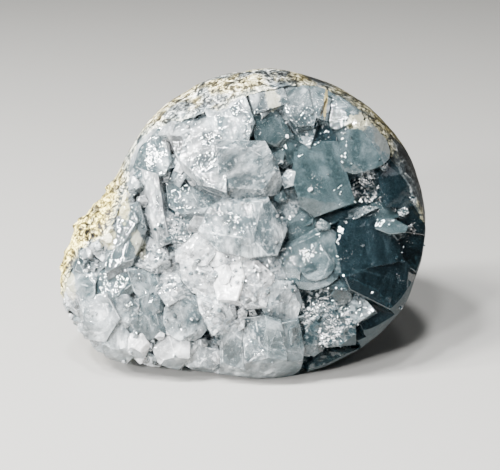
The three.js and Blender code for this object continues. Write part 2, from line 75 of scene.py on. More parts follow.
# %% [markdown]
# ## Chance and blending
# No two crystals of a crust are alike, so sizes, turns and tones are drawn at random. One long run of random
# numbers would do, but a small generator with a seed for each crystal is surer: a change to one crystal
# leaves all the others as they are. Two more helpers blend numbers, one evenly and one with soft ends.

# %% Seeded numbers and blends
SEED_FACTOR = 48271
SEED_SHIFT = 11
DRAW_FACTOR = 16807
DRAW_LIMIT = 2**31 - 1


def seeded(seed):
    """Repeatable random numbers from 0 to 1."""
    state = (seed * SEED_FACTOR + SEED_SHIFT) % DRAW_LIMIT

    def draw():
        nonlocal state
        state = state * DRAW_FACTOR % DRAW_LIMIT
        return state / DRAW_LIMIT

    return draw


def soften(share):
    """Gives a share from 0 to 1 soft ends. It also works on arrays."""
    return share * share * (3 - 2 * share)


def smoothstep(value, low, high):
    return soften(min(max((value - low) / (high - low), 0), 1))


def mix(low, high, share):
    return low + (high - low) * share


print("first draws of seed 1:", [round(draw(), 3) for draw in [seeded(1)] * 3])

# %% [markdown]
# ## The stone's form
# The real stone is a nodule with two swellings: a round dome that was ground, and a rougher lobe on its
# left. Two ellipsoids have those forms. A boolean could join them, but its seam is sharp and its triangles
# are uneven. So a sphere's points slide along their rays until they reach the smooth union of the two,
# which gives even triangles all over, and the pits and lumps need those later.

# %% The dome and the lobe
DOME = {"centre": (7.4, 1.5, 0), "half": (54.1, 52.7), "front": 34, "back": 40, "turn": 0}
LOBE = {"centre": (-14.2, -6.5, 2), "half": (51.3, 35.3), "front": 27, "back": 31, "turn": 28.5}
STONE_MIDDLE = Vector((-6, -3, 0))
# How sharp the seam between the two is: in front and high up, in front and low down, and behind. A ray
# counts as in front or above from the first slope on, and wholly so once it has risen by the second.
SEAM_SHARP, SEAM_LOW, SEAM_SOFT = 45, 10, 7
IN_FRONT_FROM, IN_FRONT_OVER = -0.7, 0.8
ABOVE_FROM, ABOVE_OVER = -0.55, 0.5
# Broad lumps: rise, wavelength and phase of each.
DOME_LUMPS = ((0.7, 66, 1), (0.25, 27, 4))
LOBE_LUMPS = ((0.8, 36, 2), (0.5, 19, 5))
NO_GROWTH = (0, 0)
print("the lobe is turned by", LOBE["turn"], "degrees")

# %% Rays out to the skin


def ray_lengths(rays, form):
    """How far rays from the stone's middle run before they leave an ellipsoid."""
    upright = Matrix.Rotation(-math.radians(form["turn"]), 3, "Z")
    turn = np.array(upright)
    r = rays @ turn.T
    o = np.array(upright @ (STONE_MIDDLE - Vector(form["centre"])))

    def leave(depth):
        half = np.array((form["half"][0], form["half"][1], depth))
        a = ((r / half) ** 2).sum(1)
        b = (r * o / half**2).sum(1)
        c = ((o / half) ** 2).sum() - 1
        return (-b + np.sqrt(b * b - a * c)) / a

    forward = leave(form["front"])
    return np.where(o[2] + forward * r[:, 2] >= 0, forward, leave(form["back"]))


def swell(points, lumps):
    """Height of waves that cross at odd angles, so that no lump looks like the next."""
    height = np.zeros(len(points))
    x, y, z = points.T
    for rise, wavelength, phase in lumps:
        turn = 2 * math.pi / wavelength
        a = turn * (x + 0.5 * y) + phase
        b = turn * (y - 0.4 * z) + 2 * phase
        c = turn * (z + 0.3 * x) + 3 * phase
        height += rise * np.sin(a + np.sin(b)) * np.sin(c + np.sin(a))
    return height


def skin_points(rays, grow, lumpy):
    """The stone's skin along each ray, and its share of lobe: 0 on the dome, 1 on the lobe.

    The skin is grown outwards by the first number on the dome and by the second on the lobe.
    """
    to_dome = ray_lengths(rays, DOME)
    to_lobe = ray_lengths(rays, LOBE)
    front = np.clip((rays[:, 2] - IN_FRONT_FROM) / IN_FRONT_OVER, 0, 1)
    above = np.clip((rays[:, 1] - ABOVE_FROM) / ABOVE_OVER, 0, 1)
    sharp = mix(SEAM_SOFT, mix(SEAM_LOW, SEAM_SHARP, soften(above)), soften(front))
    share = 1 / (1 + (to_dome / to_lobe) ** sharp)
    reach = to_dome * (1 + (to_lobe / to_dome) ** sharp) ** (1 / sharp)
    points = rays * reach[:, None]
    reach = reach + mix(grow[0], grow[1], share)
    if lumpy:
        reach = reach + mix(swell(points, DOME_LUMPS), swell(points, LOBE_LUMPS), share)
    return rays * reach[:, None] + np.array(STONE_MIDDLE), share


print("first ray runs", round(float(ray_lengths(np.array([[1.0, 0, 0]]), DOME)[0]), 1), "mm to the dome")

# %% A skin as a mesh


def get_points(mesh):
    flat = np.empty(len(mesh.vertices) * 3)
    mesh.vertices.foreach_get("co", flat)
    return flat.reshape(-1, 3)


def directions(points):
    return points / np.linalg.norm(points, axis=1)[:, None]


def set_points(mesh, points):
    mesh.vertices.foreach_set("co", np.asarray(points, dtype=np.float32).ravel())
    mesh.update()


def keep(bm, name):
    """Turns a bmesh into a linked object."""
    mesh = bpy.data.meshes.new(name)
    bm.to_mesh(mesh)
    bm.free()
    piece = bpy.data.objects.new(name, mesh)
    bpy.context.collection.objects.link(piece)
    return piece


def stone_skin(name, splits, grow, lumpy):
    bm = bmesh.new()
    bmesh.ops.create_icosphere(bm, subdivisions=splits, radius=1)
    piece = keep(bm, name)
    points, _ = skin_points(directions(get_points(piece.data)), grow, lumpy)
    set_points(piece.data, points)
    return piece


def skin_depth(x, y):
    """Depth of the smooth skin in front of a point of the face."""
    depth = 0
    for form in (DOME, LOBE):
        c, s = math.cos(math.radians(form["turn"])), math.sin(math.radians(form["turn"]))
        dx, dy = x - form["centre"][0], y - form["centre"][1]
        rest = 1 - ((dx * c + dy * s) / form["half"][0]) ** 2 - ((dy * c - dx * s) / form["half"][1]) ** 2
        if rest > 0:
            depth = max(depth, form["centre"][2] + form["front"] * math.sqrt(rest))
    return depth


print("skin in front of the middle, mm:", round(skin_depth(0, 0), 1))

# %% [markdown]
# ## The hollow
# The crystals line a hollow whose mouth is irregular, because the stone broke where it was weak. Sculpting
# such a hollow by hand is slow to change, so a bowl cuts it: rings of one outline, each a share of the
# mouth's size, bridged from the floor to the rim. The rim stands higher at the top than at the bottom.

# %% The mouth and the bowl
MOUTH = (
    (62, -2), (58, 8), (51, 21), (43, 33), (35, 42), (24, 46.5), (8, 45), (-8, 38), (-22, 35.5),
    (-33, 30.5), (-39, 24), (-38, 15), (-41, 7), (-43.5, -2), (-55, -8), (-58.5, -19), (-62, -30),
    (-50, -50), (-20, -56), (10, -58), (34, -55), (54, -42), (66, -22),
)
MOUTH_CENTRE = (0, -4)
MOUTH_SIDES = 360
JAG = 1.3
JAG_PER_TURN = 6
HOLLOW_FLOOR = -8
RIM_HIGH, RIM_LOW = 17, -4
RIM_TURN = (-0.55, 0.45)
HOLLOW_REACH = 60
# Rings of the bowl: share of the mouth's size, and share of the way up from its floor to the rim.
BOWL = ((0.02, 0), (0.45, 0.01), (0.72, 0.12), (0.9, 0.42), (1, 1))
FLARE = 1.02
# Fractal noise takes how fast finer waves fade, how much finer each one is and how many there are.
JAG_WAVES = (0.6, 2.3, 4)
print(len(MOUTH), "corners of the mouth")

# %% How far the mouth reaches


def to_mouth_centre(x, y):
    return x - MOUTH_CENTRE[0], y - MOUTH_CENTRE[1]


mouth_corners = sorted(
    (math.atan2(up, right), math.hypot(right, up)) for right, up in (to_mouth_centre(x, y) for x, y in MOUTH)
)
mouth_angles, mouth_reaches = zip(*mouth_corners)


def mouth_radius(angle):
    """Distance to the mouth's edge, which is ragged by about a millimetre."""
    place = Vector((math.cos(angle), math.sin(angle), 0)) * JAG_PER_TURN
    jag = noise.fractal(place, *JAG_WAVES) * JAG
    return float(np.interp(angle, mouth_angles, mouth_reaches, period=2 * math.pi)) + jag


def inside_mouth(x, y):
    """How far a point of the face lies inside the mouth."""
    right, up = to_mouth_centre(x, y)
    return mouth_radius(math.atan2(up, right)) - math.hypot(right, up)


print("mouth is", round(mouth_radius(0) + mouth_radius(math.pi), 1), "mm wide")

# %% The bowl


def shape_ring(ring, share, depth, gap):
    """Pulls a circle out to a share of the mouth's size and to its level. No depth means the open end."""
    for v in ring:
        angle = math.atan2(v.co.y, v.co.x)
        reach = share * (mouth_radius(angle) - gap)
        rim = mix(RIM_LOW, RIM_HIGH, smoothstep(math.sin(angle), *RIM_TURN))
        level = HOLLOW_REACH if depth is None else mix(HOLLOW_FLOOR, rim, depth) + gap
        right, up = reach * math.cos(angle), reach * math.sin(angle)
        v.co = (MOUTH_CENTRE[0] + right, MOUTH_CENTRE[1] + up, level)


def hollow(name, gap):
    """The cutter of the hollow. A gap over 0 makes it that much narrower all round."""
    bm = bmesh.new()
    rings = []
    for share, depth in (*BOWL, (FLARE, None)):
        is_end = share == BOWL[0][0] or depth is None
        ring = bmesh.ops.create_circle(bm, cap_ends=is_end, radius=1, segments=MOUTH_SIDES)["verts"]
        shape_ring(ring, share, depth, gap)
        here = set(ring)
        rings.append([e for e in bm.edges if e.verts[0] in here and e.verts[1] in here])
    for low, high in zip(rings, rings[1:]):
        bmesh.ops.bridge_loops(bm, edges=low + high)
    bmesh.ops.recalc_face_normals(bm, faces=bm.faces[:])
    return keep(bm, name)


print("the bowl has", len(BOWL), "rings")

# %% [markdown]
# ## The large crystals
# Celestite grows in blunt blocks and thick plates. The large ones give this stone its character, so they
# aren't scattered by chance: each has a row of its own in a table. The outline is what shows from in front
# of the face, the inset is how deep the front lies under the crust's tips, the lean tips the block's axis,
# and the last number says how clear it is: 0 is milky white, 1 is deep clear blue.

# %% The table of large crystals
LARGE = (
    (((-40, 29), (-30, 34), (-26.5, 28), (-25.5, 22.5), (-27, 18), (-32, 17), (-37, 18.5)),
     0.8, (-0.3, 0.3), 0.44),
    (((-29, 41), (-14, 44), (-8, 27), (-7, 12.5), (-15, 15.5), (-20.5, 21)), -0.3, (-0.1, 0.3), 0.28),
    (((-8, 27), (6, 26.5), (9.5, 20.5), (11, 14.5), (10, 12), (1, 10), (-6.5, 12)), -1.5, (0.15, -0.1), 0.33),
    (((-14, 44), (1, 49.5), (3.5, 38.5), (2, 34), (4.5, 27.5), (-8, 27)), 0.7, (-0.05, 0.4), 0.37),
    (((3.2, 33.5), (3.8, 36.7), (8.9, 39), (10.5, 36.5), (15.9, 30.3), (12.3, 27.3), (4.9, 28.4)),
     1, (0.22, 0.02), 0.67),
    (((4.5, 28), (12.3, 27), (11.5, 21.8), (7.5, 22.5)), 4.5, (-0.1, 0.3), 0.66),
    (((8, 52), (19, 53), (22, 37), (21.5, 34.8), (17.3, 34.3), (14, 37.5), (11.5, 42)),
     0.6, (0.1, 0.62), 0.45),
    (((22.7, 33.8), (24.9, 35.6), (28.8, 29), (28.5, 27), (21.1, 27.5)), 3.5, (-0.2, 0.1), 0.82),
    (((17.5, 24.5), (21, 27), (29.5, 27), (34.5, 9), (23, 5), (19.5, 7.5), (16.5, 16)), 2.5, (0, 0.06), 0.72),
    (((18.5, 53), (28, 53), (26, 36.5), (22, 37)), -0.3, (0.1, 0.65), 0.45),
    (((27.5, 50), (41, 46), (36.5, 37), (30.5, 34), (27, 36)), 0.2, (0.3, 0.55), 0.5),
    (((27, 35.5), (32.5, 36.5), (33, 30), (31.5, 23), (29.5, 26.5)), 4, (-0.3, 0.2), 0.6),
    (((32.5, 30), (38.5, 32.5), (44, 31.5), (46.5, 26), (46, 22.5), (41, 20), (34, 18.5), (32, 22.5)),
     0.5, (0.1, 0.15), 0.66),
    (((32.5, 18), (41, 20), (45, 19.5), (46, 11.5), (40.5, 9.5), (35.5, 10)), 8, (-0.35, 0.1), 1),
    (((46, 22.5), (50, 26), (58, 22), (60, 14), (54.5, 8), (47.5, 8), (45, 16.5)), 2, (0.4, 0.05), 0.85),
    (((35.5, 10), (47.5, 8), (51, 5.5), (42.5, 2), (32.5, 4)), 7, (0.1, 0.4), 0.75),
    (((50, -2.5), (60, -1), (66, -8), (64, -17), (55.5, -12), (51.5, -9.5)), 2, (0.5, 0), 1),
    (((52.5, 8), (60, 10), (64, 4.5), (64, -1), (52.5, 0)), 1.5, (0.5, 0.1), 0.95),
    (((41, 3.5), (43.5, 4.8), (48.5, 2), (53, 2), (52, -0.5), (47.5, -1), (43, 1)), 3.8, (0, 0.3), 0.68),
    (((32.5, 1.5), (42, 2.5), (49.5, -3.5), (51, -9.5), (40.5, -12), (32.5, -13.5), (30.5, -4)),
     3.5, (0.25, 0.1), 0.85),
    (((32.5, -13.5), (40.5, -12), (51.5, -9.5), (64, -18.5), (53, -27), (42.5, -23), (35.5, -19.5)),
     3.5, (0.62, 0.02), 0.9),
    (((36.5, -23), (42.5, -22.5), (51.5, -25), (61, -26), (50, -42), (38, -36), (37, -31.5)),
     4, (0.5, 0.15), 0.9),
    (((32.5, -24), (36.5, -22), (41, -27), (36.5, -30)), 3.8, (-0.35, 0.39), 0.5),
    (((17.5, -21.5), (27, -20.5), (31.5, -25.5), (35.5, -32), (35.5, -37.5), (24.5, -38.5), (19, -34.5)),
     4.5, (0.05, -0.02), 0.78),
    (((18, -47), (24, -41.5), (35.5, -37.5), (47, -38.5), (42, -50), (24, -57), (18.5, -54)),
     2.5, (0.25, -0.1), 0.78),
    (((12, -8), (16.5, -4.5), (24, -1), (28, -1), (31.5, -6), (31.5, -12), (28.5, -17), (22, -19.5),
      (15, -18)), 3.5, (0, 0.05), 0.58),
    (((18.5, -8), (21, -5.5), (26.5, -6.5), (29, -10.5), (27, -15), (22, -16.5), (19, -13.5)),
     2, (0.05, 0.1), 0.58),
    (((13, -9), (17.5, -10.5), (16.5, -17.5), (13.5, -15)), 3, (-0.2, 0), 0.5),
    (((11, 14.5), (15.5, 15.5), (19.5, 7), (17.5, 2), (14.5, 4.5)), 8.5, (0.35, 0), 0.55),
    (((8, 9.5), (12.5, 9.5), (17.5, 2), (13.5, -2.5), (11, 2)), 7.5, (0.35, 0.1), 0.55),
    (((13.5, 1), (18.5, 7), (25, 5), (23, 0), (16, -4)), 6.5, (0, 0.4), 0.7),
    (((25, 5.5), (34, 8.5), (40, 7.5), (32.5, 4), (27.5, 0)), 7.5, (-0.1, 0.5), 0.9),
    (((-13.5, -0.5), (-10.5, 6), (-4.5, 9.5), (6, 10), (9, 5), (12, 0), (9.5, -7), (1.5, -8), (-8, -6)),
     -1.5, (0, 0.25), 0.36),
    (((-25, 16.5), (-15, 14.5), (-6.5, 11), (-10.5, 6), (-14, 0), (-18.5, 3.5), (-23.5, 3.5)),
     5, (0, 0.15), 0.42),
    (((-29, 15), (-25, 17.5), (-23, 5), (-27, 3.5)), 6, (-0.5, 0), 0.6),
    (((-34.5, 18), (-29.5, 16.5), (-28, 8), (-25.5, -4), (-28, -5), (-32.5, 6)), 1, (-0.3, 0.05), 0.2),
    (((-24, 3), (-17.5, 3.5), (-14, 0), (-17, -3.5), (-25, -3.5)), 4, (0.2, 0.3), 0.6),
    (((-9, -12), (-3, -11), (-1.5, -14.5), (-3.5, -22.5), (-8, -22), (-9.5, -16.5)), -0.5, (-0.35, 0.39), 0),
    (((-2.5, -16), (0, -12), (4, -12), (8.5, -16), (6, -24.5), (1.5, -25), (-2.5, -21.5)),
     0, (0.2, 0.1), 0.1),
    (((6, -7), (11.5, -8), (13, -16), (9, -18.5), (6, -14.5)), 3, (0.3, 0.2), 0.35),
    (((8, -18.5), (16, -19), (17.5, -24.5), (15.5, -31), (9, -29.5), (6, -25)), 2, (0.1, -0.2), 0.3),
    (((0.5, -31.5), (7.5, -30.5), (8, -54), (2, -54)), -0.3, (-0.1, -0.35), 0.3),
    (((8, -30.5), (11, -31.5), (13, -39), (12, -54), (8, -54)), 0, (0.15, -0.35), 0.5),
    (((11.5, -32.5), (17, -32), (18.5, -40), (17.5, -47), (13.5, -53)), 1, (0.25, -0.4), 0.55),
    (((-7, -34.5), (0.5, -32), (1.5, -54), (-6, -54)), 0.3, (0.05, -0.4), 0.35),
    (((-18.5, -37.5), (-10, -39.5), (-8.5, -45), (-13, -50), (-18, -46)), -0.8, (0.1, -0.5), 0.2),
    (((-29.5, -39.5), (-25.5, -36), (-19.5, -37.5), (-19.5, -42.5), (-24, -46.5), (-28, -44)),
     -1, (-0.2, -0.1), 0.05),
    (((-37.5, -36.5), (-34, -36), (-32.5, -39), (-34.5, -42.5), (-37.5, -41.5)), -0.8, (-0.1, -0.3), 0),
    (((-46.5, -36.5), (-42, -30.5), (-38.5, -36.5), (-39, -43), (-42, -46), (-46, -43.5)),
     -1, (-0.25, -0.4), 0.25),
    (((-54.5, -24.5), (-46, -23), (-42, -30.5), (-47, -36.5), (-53.5, -36)), -0.5, (-0.5, -0.2), 0.25),
    (((-56, -8), (-50, -16.5), (-50.5, -23.5), (-57, -20), (-59.5, -15.5)), 0.5, (-0.5, 0.1), 0.45),
    (((-45, -8), (-41, 5), (-35.5, 7), (-33.5, -0.5), (-38, -11.5), (-44, -15)), 0.5, (-0.25, 0.1), 0.45),
    (((-50, -16.5), (-45, -14.5), (-38, -12), (-35.5, -18.5), (-41, -23), (-48, -24)), 1.5, (-0.2, 0.1), 0.5),
    (((-37.5, -12.5), (-29.5, -13.5), (-27, -19.5), (-32.5, -24.5), (-35.5, -19)), 2.5, (0.3, 0.1), 0.5),
    (((-33.5, -1.5), (-27, -6), (-25.5, -11.5), (-29.5, -13.5), (-35.5, -11.5)), 3, (-0.1, 0.3), 0.25),
    (((-29, -13.5), (-20.5, -16.5), (-18.5, -21), (-25, -24.5), (-28, -20)), 2.8, (-0.1, 0.2), 0.28),
    (((-35.5, -24.5), (-27, -21), (-25, -25.5), (-26, -34), (-32.5, -36), (-36.5, -30.5)),
     2, (0.2, -0.1), 0.5),
    (((-25, -25), (-18, -22), (-12.5, -27), (-13.5, -34.5), (-20.5, -36.5), (-25.5, -33)),
     1, (0, -0.1), 0.35),
    (((-17, -20.5), (-10, -22.5), (-4.5, -24.5), (-4.5, -32.5), (-12.5, -34), (-13.5, -27)),
     0.3, (0.1, 0.15), 0.2),
    (((-46, -24), (-39, -23), (-35.5, -26), (-36.5, -31.5), (-42, -30.5)), 1, (-0.2, -0.1), 0.35),
    (((-22, -4), (-13.5, -2.5), (-10, -7.5), (-13.5, -11.5), (-21.5, -10)), 2, (-0.2, 0.2), 0.15),
    (((-10, -7.5), (0, -8), (1.5, -11.5), (-3, -11.5), (-9, -12), (-13, -11.5)), 1.5, (0, -0.2), 0.1),
    (((-20, -11.5), (-13.5, -12), (-10, -16), (-10.5, -22), (-16.5, -20), (-19.5, -16.5)),
     1, (-0.1, 0), 0.15),
    (((-18.5, 27), (-16.5, 30), (-13, 30), (-10, 26.5), (-9.5, 21.5), (-12.5, 18.5), (-16.5, 20.5)),
     -1.4, (0.05, 0.15), 0.1),
    (((3, 37.5), (0.5, 51), (9.5, 52), (13, 41.5), (9.5, 40), (4.5, 38)), 0.2, (0.05, 0.6), 0.35),
    (((12.8, 27.1), (17, 30.5), (19.4, 27.5), (17, 22.8), (15.1, 22.2), (12.5, 25.6)), 4, (0.1, 0.1), 0.75),
    (((17.3, 34.3), (22.3, 34.7), (20.6, 27.5), (17.7, 30.1)), 3.2, (-0.36, 0.39), 0.5),
    (((26.5, 1), (34.3, 6.5), (42.8, 6.1), (46, 4), (43.2, 3), (35.7, 4), (29, 0.3)), 5, (-0.1, 0.45), 0.55),
)
print(len(LARGE), "large crystals")

# %% Seeds and how crumbly they are
LARGE_SEEDS, SMALL_SEEDS, FINE_SEEDS = 100, 1000, 20000
# Rows of the table above whose corners are worn round, and rows that are broken up into small facets.
ROUNDED = {12, 25, 26, 57, 63}
CRUMBLY = {5, 13, 22, 23, 28, 29, 36, 38, 39, 53, 54, 55, 58, 60, 61, 62, 66, 67}
CRUMBLE_LARGE, CRUMBLE_SMALL, CRUMBLE_FINE = 0.8, 0.3, 0.7
print(len(CRUMBLY), "of them crumbly,", len(ROUNDED), "worn round")

# %% [markdown]
# ## Cutting a crystal
# Each crystal is a convex solid with flat faces. It could be extruded from its outline, but that gives
# every one the same flat top. So it is made as a gem cutter would make it: a rough block and one straight
# cut for each face. The side faces stand on the outline, some of their upper edges are chamfered, and one
# to three broad facets slope off the front, because a crystal face is seldom one plane. Real edges are
# never perfectly sharp, so a narrow bevel breaks each one and gives it a line of light.

# %% Levels and chamfers
# The tips reach the ground skin near the rim. Further in they stay at a level that rises more slowly.
TIPS_LEVEL = 11
TIPS_SHARE = 0.42
FLUSH_BAND = (2, 14)
TAPER = 0.09
SIDE_LEAN = 0.4
GROWN = 1.2
CHAMFER_SHARE = 0.5
CHAMFER_WIDTH = (0.7, 2.4)
CHAMFER_SLOPE = (0.5, 1.3)
# From this x on the crystals are clear. There a chamfer on an edge that looks down would mirror the pale
# table as a white stripe, so those edges have none.
CLEAR_SIDE = 20
print("chamfers are", CHAMFER_WIDTH, "mm wide")

# %% Outlines


def sides_of(outline):
    """Neighbouring corners in pairs, all the way round."""
    return zip(outline, (*outline[1:], outline[0]))


def axis_of(lean):
    return Vector((*lean, 1)).normalized()


def radius_of(outline, x, y):
    return sum(math.hypot(a - x, b - y) for a, b in outline) / len(outline)


def tips_depth(x, y):
    skin = skin_depth(x, y)
    return mix(skin, min(skin, TIPS_LEVEL + TIPS_SHARE * skin), smoothstep(inside_mouth(x, y), *FLUSH_BAND))


def middle_of(outline):
    return sum(x for x, _ in outline) / len(outline), sum(y for _, y in outline) / len(outline)


def anticlockwise(outline):
    area = sum(a[0] * b[1] - b[0] * a[1] for a, b in sides_of(outline))
    return list(outline) if area > 0 else list(reversed(outline))


print("the first crystal stands round", [round(v, 1) for v in middle_of(LARGE[0][0])])

# %% The planes of a crystal


def crystal_planes(outline, inset, lean, seed, grown=0):
    """The crystal's faces as (outward normal, point on the face)."""
    draw = seeded(seed)
    x, y = middle_of(outline)
    front = tips_depth(x, y) - inset
    axis = axis_of(lean)
    planes = [(axis, Vector((x, y, front)))]
    for (ax, ay), (bx, by) in sides_of(anticlockwise(outline)):
        out = Vector((by - ay, ax - bx)).normalized()
        corner = Vector((ax, ay, front - lean[0] * (ax - x) - lean[1] * (ay - y)))
        side = Vector((out.x, out.y, TAPER - SIDE_LEAN * (out.x * lean[0] + out.y * lean[1]))).normalized()
        corner += side * grown
        planes.append((side, corner.copy()))
        if draw() < CHAMFER_SHARE and (x < CLEAR_SIDE or out.y > 0):
            facet = (side * mix(*CHAMFER_SLOPE, draw()) + axis).normalized()
            corner -= side * mix(*CHAMFER_WIDTH, draw())
            planes.append((facet, corner))
    return planes


print("the first crystal has", len(crystal_planes(*LARGE[0][:3], LARGE_SEEDS)), "faces before its facets")

# %% Facets on the front
FACET_SEEDS = 700
FACET_COUNT = (1, 4)
FACET_SLOPE = (0.1, 0.42)
FACET_START = (0.0, 0.7)
FACET_TURN = (1.4, 3)


def front_facets(outline, inset, lean, seed):
    """Broad faces that slope off the front."""
    draw = seeded(seed + FACET_SEEDS)
    x, y = middle_of(outline)
    front = Vector((x, y, tips_depth(x, y) - inset))
    radius = radius_of(outline, x, y)
    turn = draw() * 2 * math.pi
    planes = []
    for _ in range(int(mix(*FACET_COUNT, draw()))):
        turn += mix(*FACET_TURN, draw())
        away = Vector((math.cos(turn), math.sin(turn), -lean[0] * math.cos(turn) - lean[1] * math.sin(turn)))
        normal = (axis_of(lean) + away * mix(*FACET_SLOPE, draw())).normalized()
        planes.append((normal, front + away * radius * mix(*FACET_START, draw())))
    return planes


print("the first crystal has", len(front_facets(*LARGE[0][:3], LARGE_SEEDS)), "facets on its front")

# %% Chosen facets and worn corners
# Facets that give a large crystal its own form, by its row: a point, the direction it falls, its slope.
RIDGES = {
    1: (((-12, 30), 100, 0.25),),
    2: (((8.5, 16), -35, 0.8), ((0, 12.6), -95, 0.9), ((2, 25), 60, 0.3)),
    4: (((12, 33), 20, 0.3),),
    8: (((27, 20), 10, 0.12), ((24, 9), -100, 0.5)),
    12: (((36, 21), -110, 0.5), ((43, 27), 30, 0.3)),
    19: (((42, -4), 15, 0.25), ((36, 0), 100, 0.4)),
    20: (((46, -16), 80, 0.15), ((54, -19), 0, 0.4)),
    25: (((16, -12), 190, 0.35), ((22, -18), -95, 0.5)),
    32: (((3.8, 1), -14, 0.5), ((-6, -2.5), -98, 0.7), ((9.5, 0), -10, 0.7)),
    33: (((-16, 9), 30, 0.25),),
    57: (((-20, -30), 200, 0.3),),
}
CORNER_CUTS = (0.25, 0.75)


def ridge_planes(outline, inset, lean, ridges):
    """Chosen facets: each starts at a point of the front and falls away towards a direction."""
    x, y = middle_of(outline)
    front = tips_depth(x, y) - inset
    planes = []
    for (px, py), degrees, slope in ridges:
        right, up = math.cos(math.radians(degrees)), math.sin(math.radians(degrees))
        away = Vector((right, up, -lean[0] * right - lean[1] * up))
        start = Vector((px, py, front - lean[0] * (px - x) - lean[1] * (py - y)))
        planes.append(((axis_of(lean) + away * slope).normalized(), start))
    return planes


def rounded(outline):
    """Cuts every corner of an outline, so that the crystal looks worn round."""
    sides = sides_of(outline)
    return tuple((mix(a[0], b[0], t), mix(a[1], b[1], t)) for a, b in sides for t in CORNER_CUTS)


print(len(RIDGES), "crystals have chosen facets")

# %% [markdown]
# ## Numbers for the finish
# On the real crust each crystal has a look of its own: clear or milky, whole or crumbly, grown or ground.
# A material for each would need hundreds of slots. One material that reads numbers off the faces needs
# only five layers, and the booleans keep those: how clear the crystal is, a random shade that is the same
# all over one crystal, whether the face is a bevel, how crumbly it is and whether it was ground.

# %% Cutting a block
FACE_NUMBERS = ("clearness", "shade", "edge", "crumble", "ground")
WELD = 0.01


def number_faces(bm, faces, numbers):
    """Writes the numbers onto faces. New layers come first, because they make old face references stale."""
    for name, value in numbers.items():
        layer = bm.faces.layers.float[name]
        for face in faces:
            face[layer] = value


def add_layers(bm):
    for name in FACE_NUMBERS:
        bm.faces.layers.float.new(name)


def cut_block(planes, middle, reach, depth, bevel, numbers):
    """A block round middle that runs down to depth, cut back by planes."""
    bm = bmesh.new()
    add_layers(bm)
    low, high = depth, middle.z + reach
    box = Matrix.Translation((middle.x, middle.y, (low + high) / 2))
    bmesh.ops.create_cube(bm, size=1, matrix=box @ Matrix.Diagonal((reach * 2, reach * 2, high - low, 1)))
    for normal, point in planes:
        everything = bm.verts[:] + bm.edges[:] + bm.faces[:]
        cut = bmesh.ops.bisect_plane(bm, geom=everything, plane_co=point, plane_no=normal, clear_outer=True)
        rim = [g for g in cut["geom_cut"] if isinstance(g, bmesh.types.BMEdge)]
        if rim:
            bmesh.ops.contextual_create(bm, geom=rim)
    bmesh.ops.remove_doubles(bm, verts=bm.verts[:], dist=WELD)
    made = bmesh.ops.bevel(
        bm, geom=bm.edges[:], affect="EDGES", offset=bevel,
        segments=1, profile=0.5, material=-1, clamp_overlap=True,
    )
    bmesh.ops.recalc_face_normals(bm, faces=bm.faces[:])
    number_faces(bm, bm.faces, numbers)
    number_faces(bm, made["faces"], {"edge": 1})
    return bm


print("numbers on the faces:", FACE_NUMBERS)

# %% [markdown]
# ## The small crystals
# Between the large crystals the crust is filled with smaller ones that had less room. Scattering them
# freely leaves heaps and holes. A grid with some stray spreads them evenly but not in rows, and where a
# large crystal already stands, none is placed.

# %% Sizes of the small crystals
SMALL_ROWS, SMALL_COLUMNS = range(-9, 10), range(-11, 12)
SMALL_PITCH = 6.4
SMALL_ROW_PITCH = 0.87
SMALL_STRAY = 3
SMALL_WIDTH = (4.5, 8)
SMALL_INSET = (2.5, 6)
SMALL_RIM_INSET = (0, 1.5)
SMALL_CORNERS = (4, 6)
SMALL_UNEVEN = 0.4
SMALL_LEAN = 0.45
SMALL_FAN = 0.008
SMALL_LEAST_SKIN = 6
SMALL_PAST_RIM = -1
RIM_BAND = 5
SMALL_DRAW, TONE_SEEDS, SMALL_ROW_SEEDS = 7, 5000, 40
CLEAR_FROM_LEFT = (-5, 32)
TONE_LEFT, TONE_RISE, TONE_STRAY = 0.25, 0.55, 0.5
print("small crystals stand", SMALL_PITCH, "mm apart")

# %% Where a crystal has room


def is_inside(x, y, outline):
    inside = False
    for (ax, ay), (bx, by) in sides_of(outline):
        if (ay > y) != (by > y) and x < (bx - ax) * (y - ay) / (by - ay) + ax:
            inside = not inside
    return inside


def tone_at(x, draw):
    """Milky on the left and clear on the right, with some of each anywhere."""
    by_place = TONE_LEFT + TONE_RISE * smoothstep(x, *CLEAR_FROM_LEFT)
    return min(max(by_place + TONE_STRAY * (draw() - 0.5), 0), 1)


def polygon_round(x, y, start, radius, count, uneven, draw):
    turns = [start + (i + (draw() - 0.5) * uneven) * 2 * math.pi / count for i in range(count)]
    return tuple((x + radius * math.cos(t), y + radius * math.sin(t)) for t in turns)


def lean_at(x, y, fan, stray, draw):
    """Crystals fan out from the middle of the face, each with a stray of its own."""
    return tuple(place * fan + (draw() - 0.5) * 2 * stray for place in (x, y))


def is_free(x, y, least_skin, past_rim):
    """Whether the crust has room and depth here and no large crystal."""
    covered = any(is_inside(x, y, one[0]) for one in LARGE)
    return skin_depth(x, y) > least_skin and inside_mouth(x, y) > past_rim and not covered


print("room in the middle:", is_free(0, 0, SMALL_LEAST_SKIN, SMALL_PAST_RIM))

# %% The small crystals


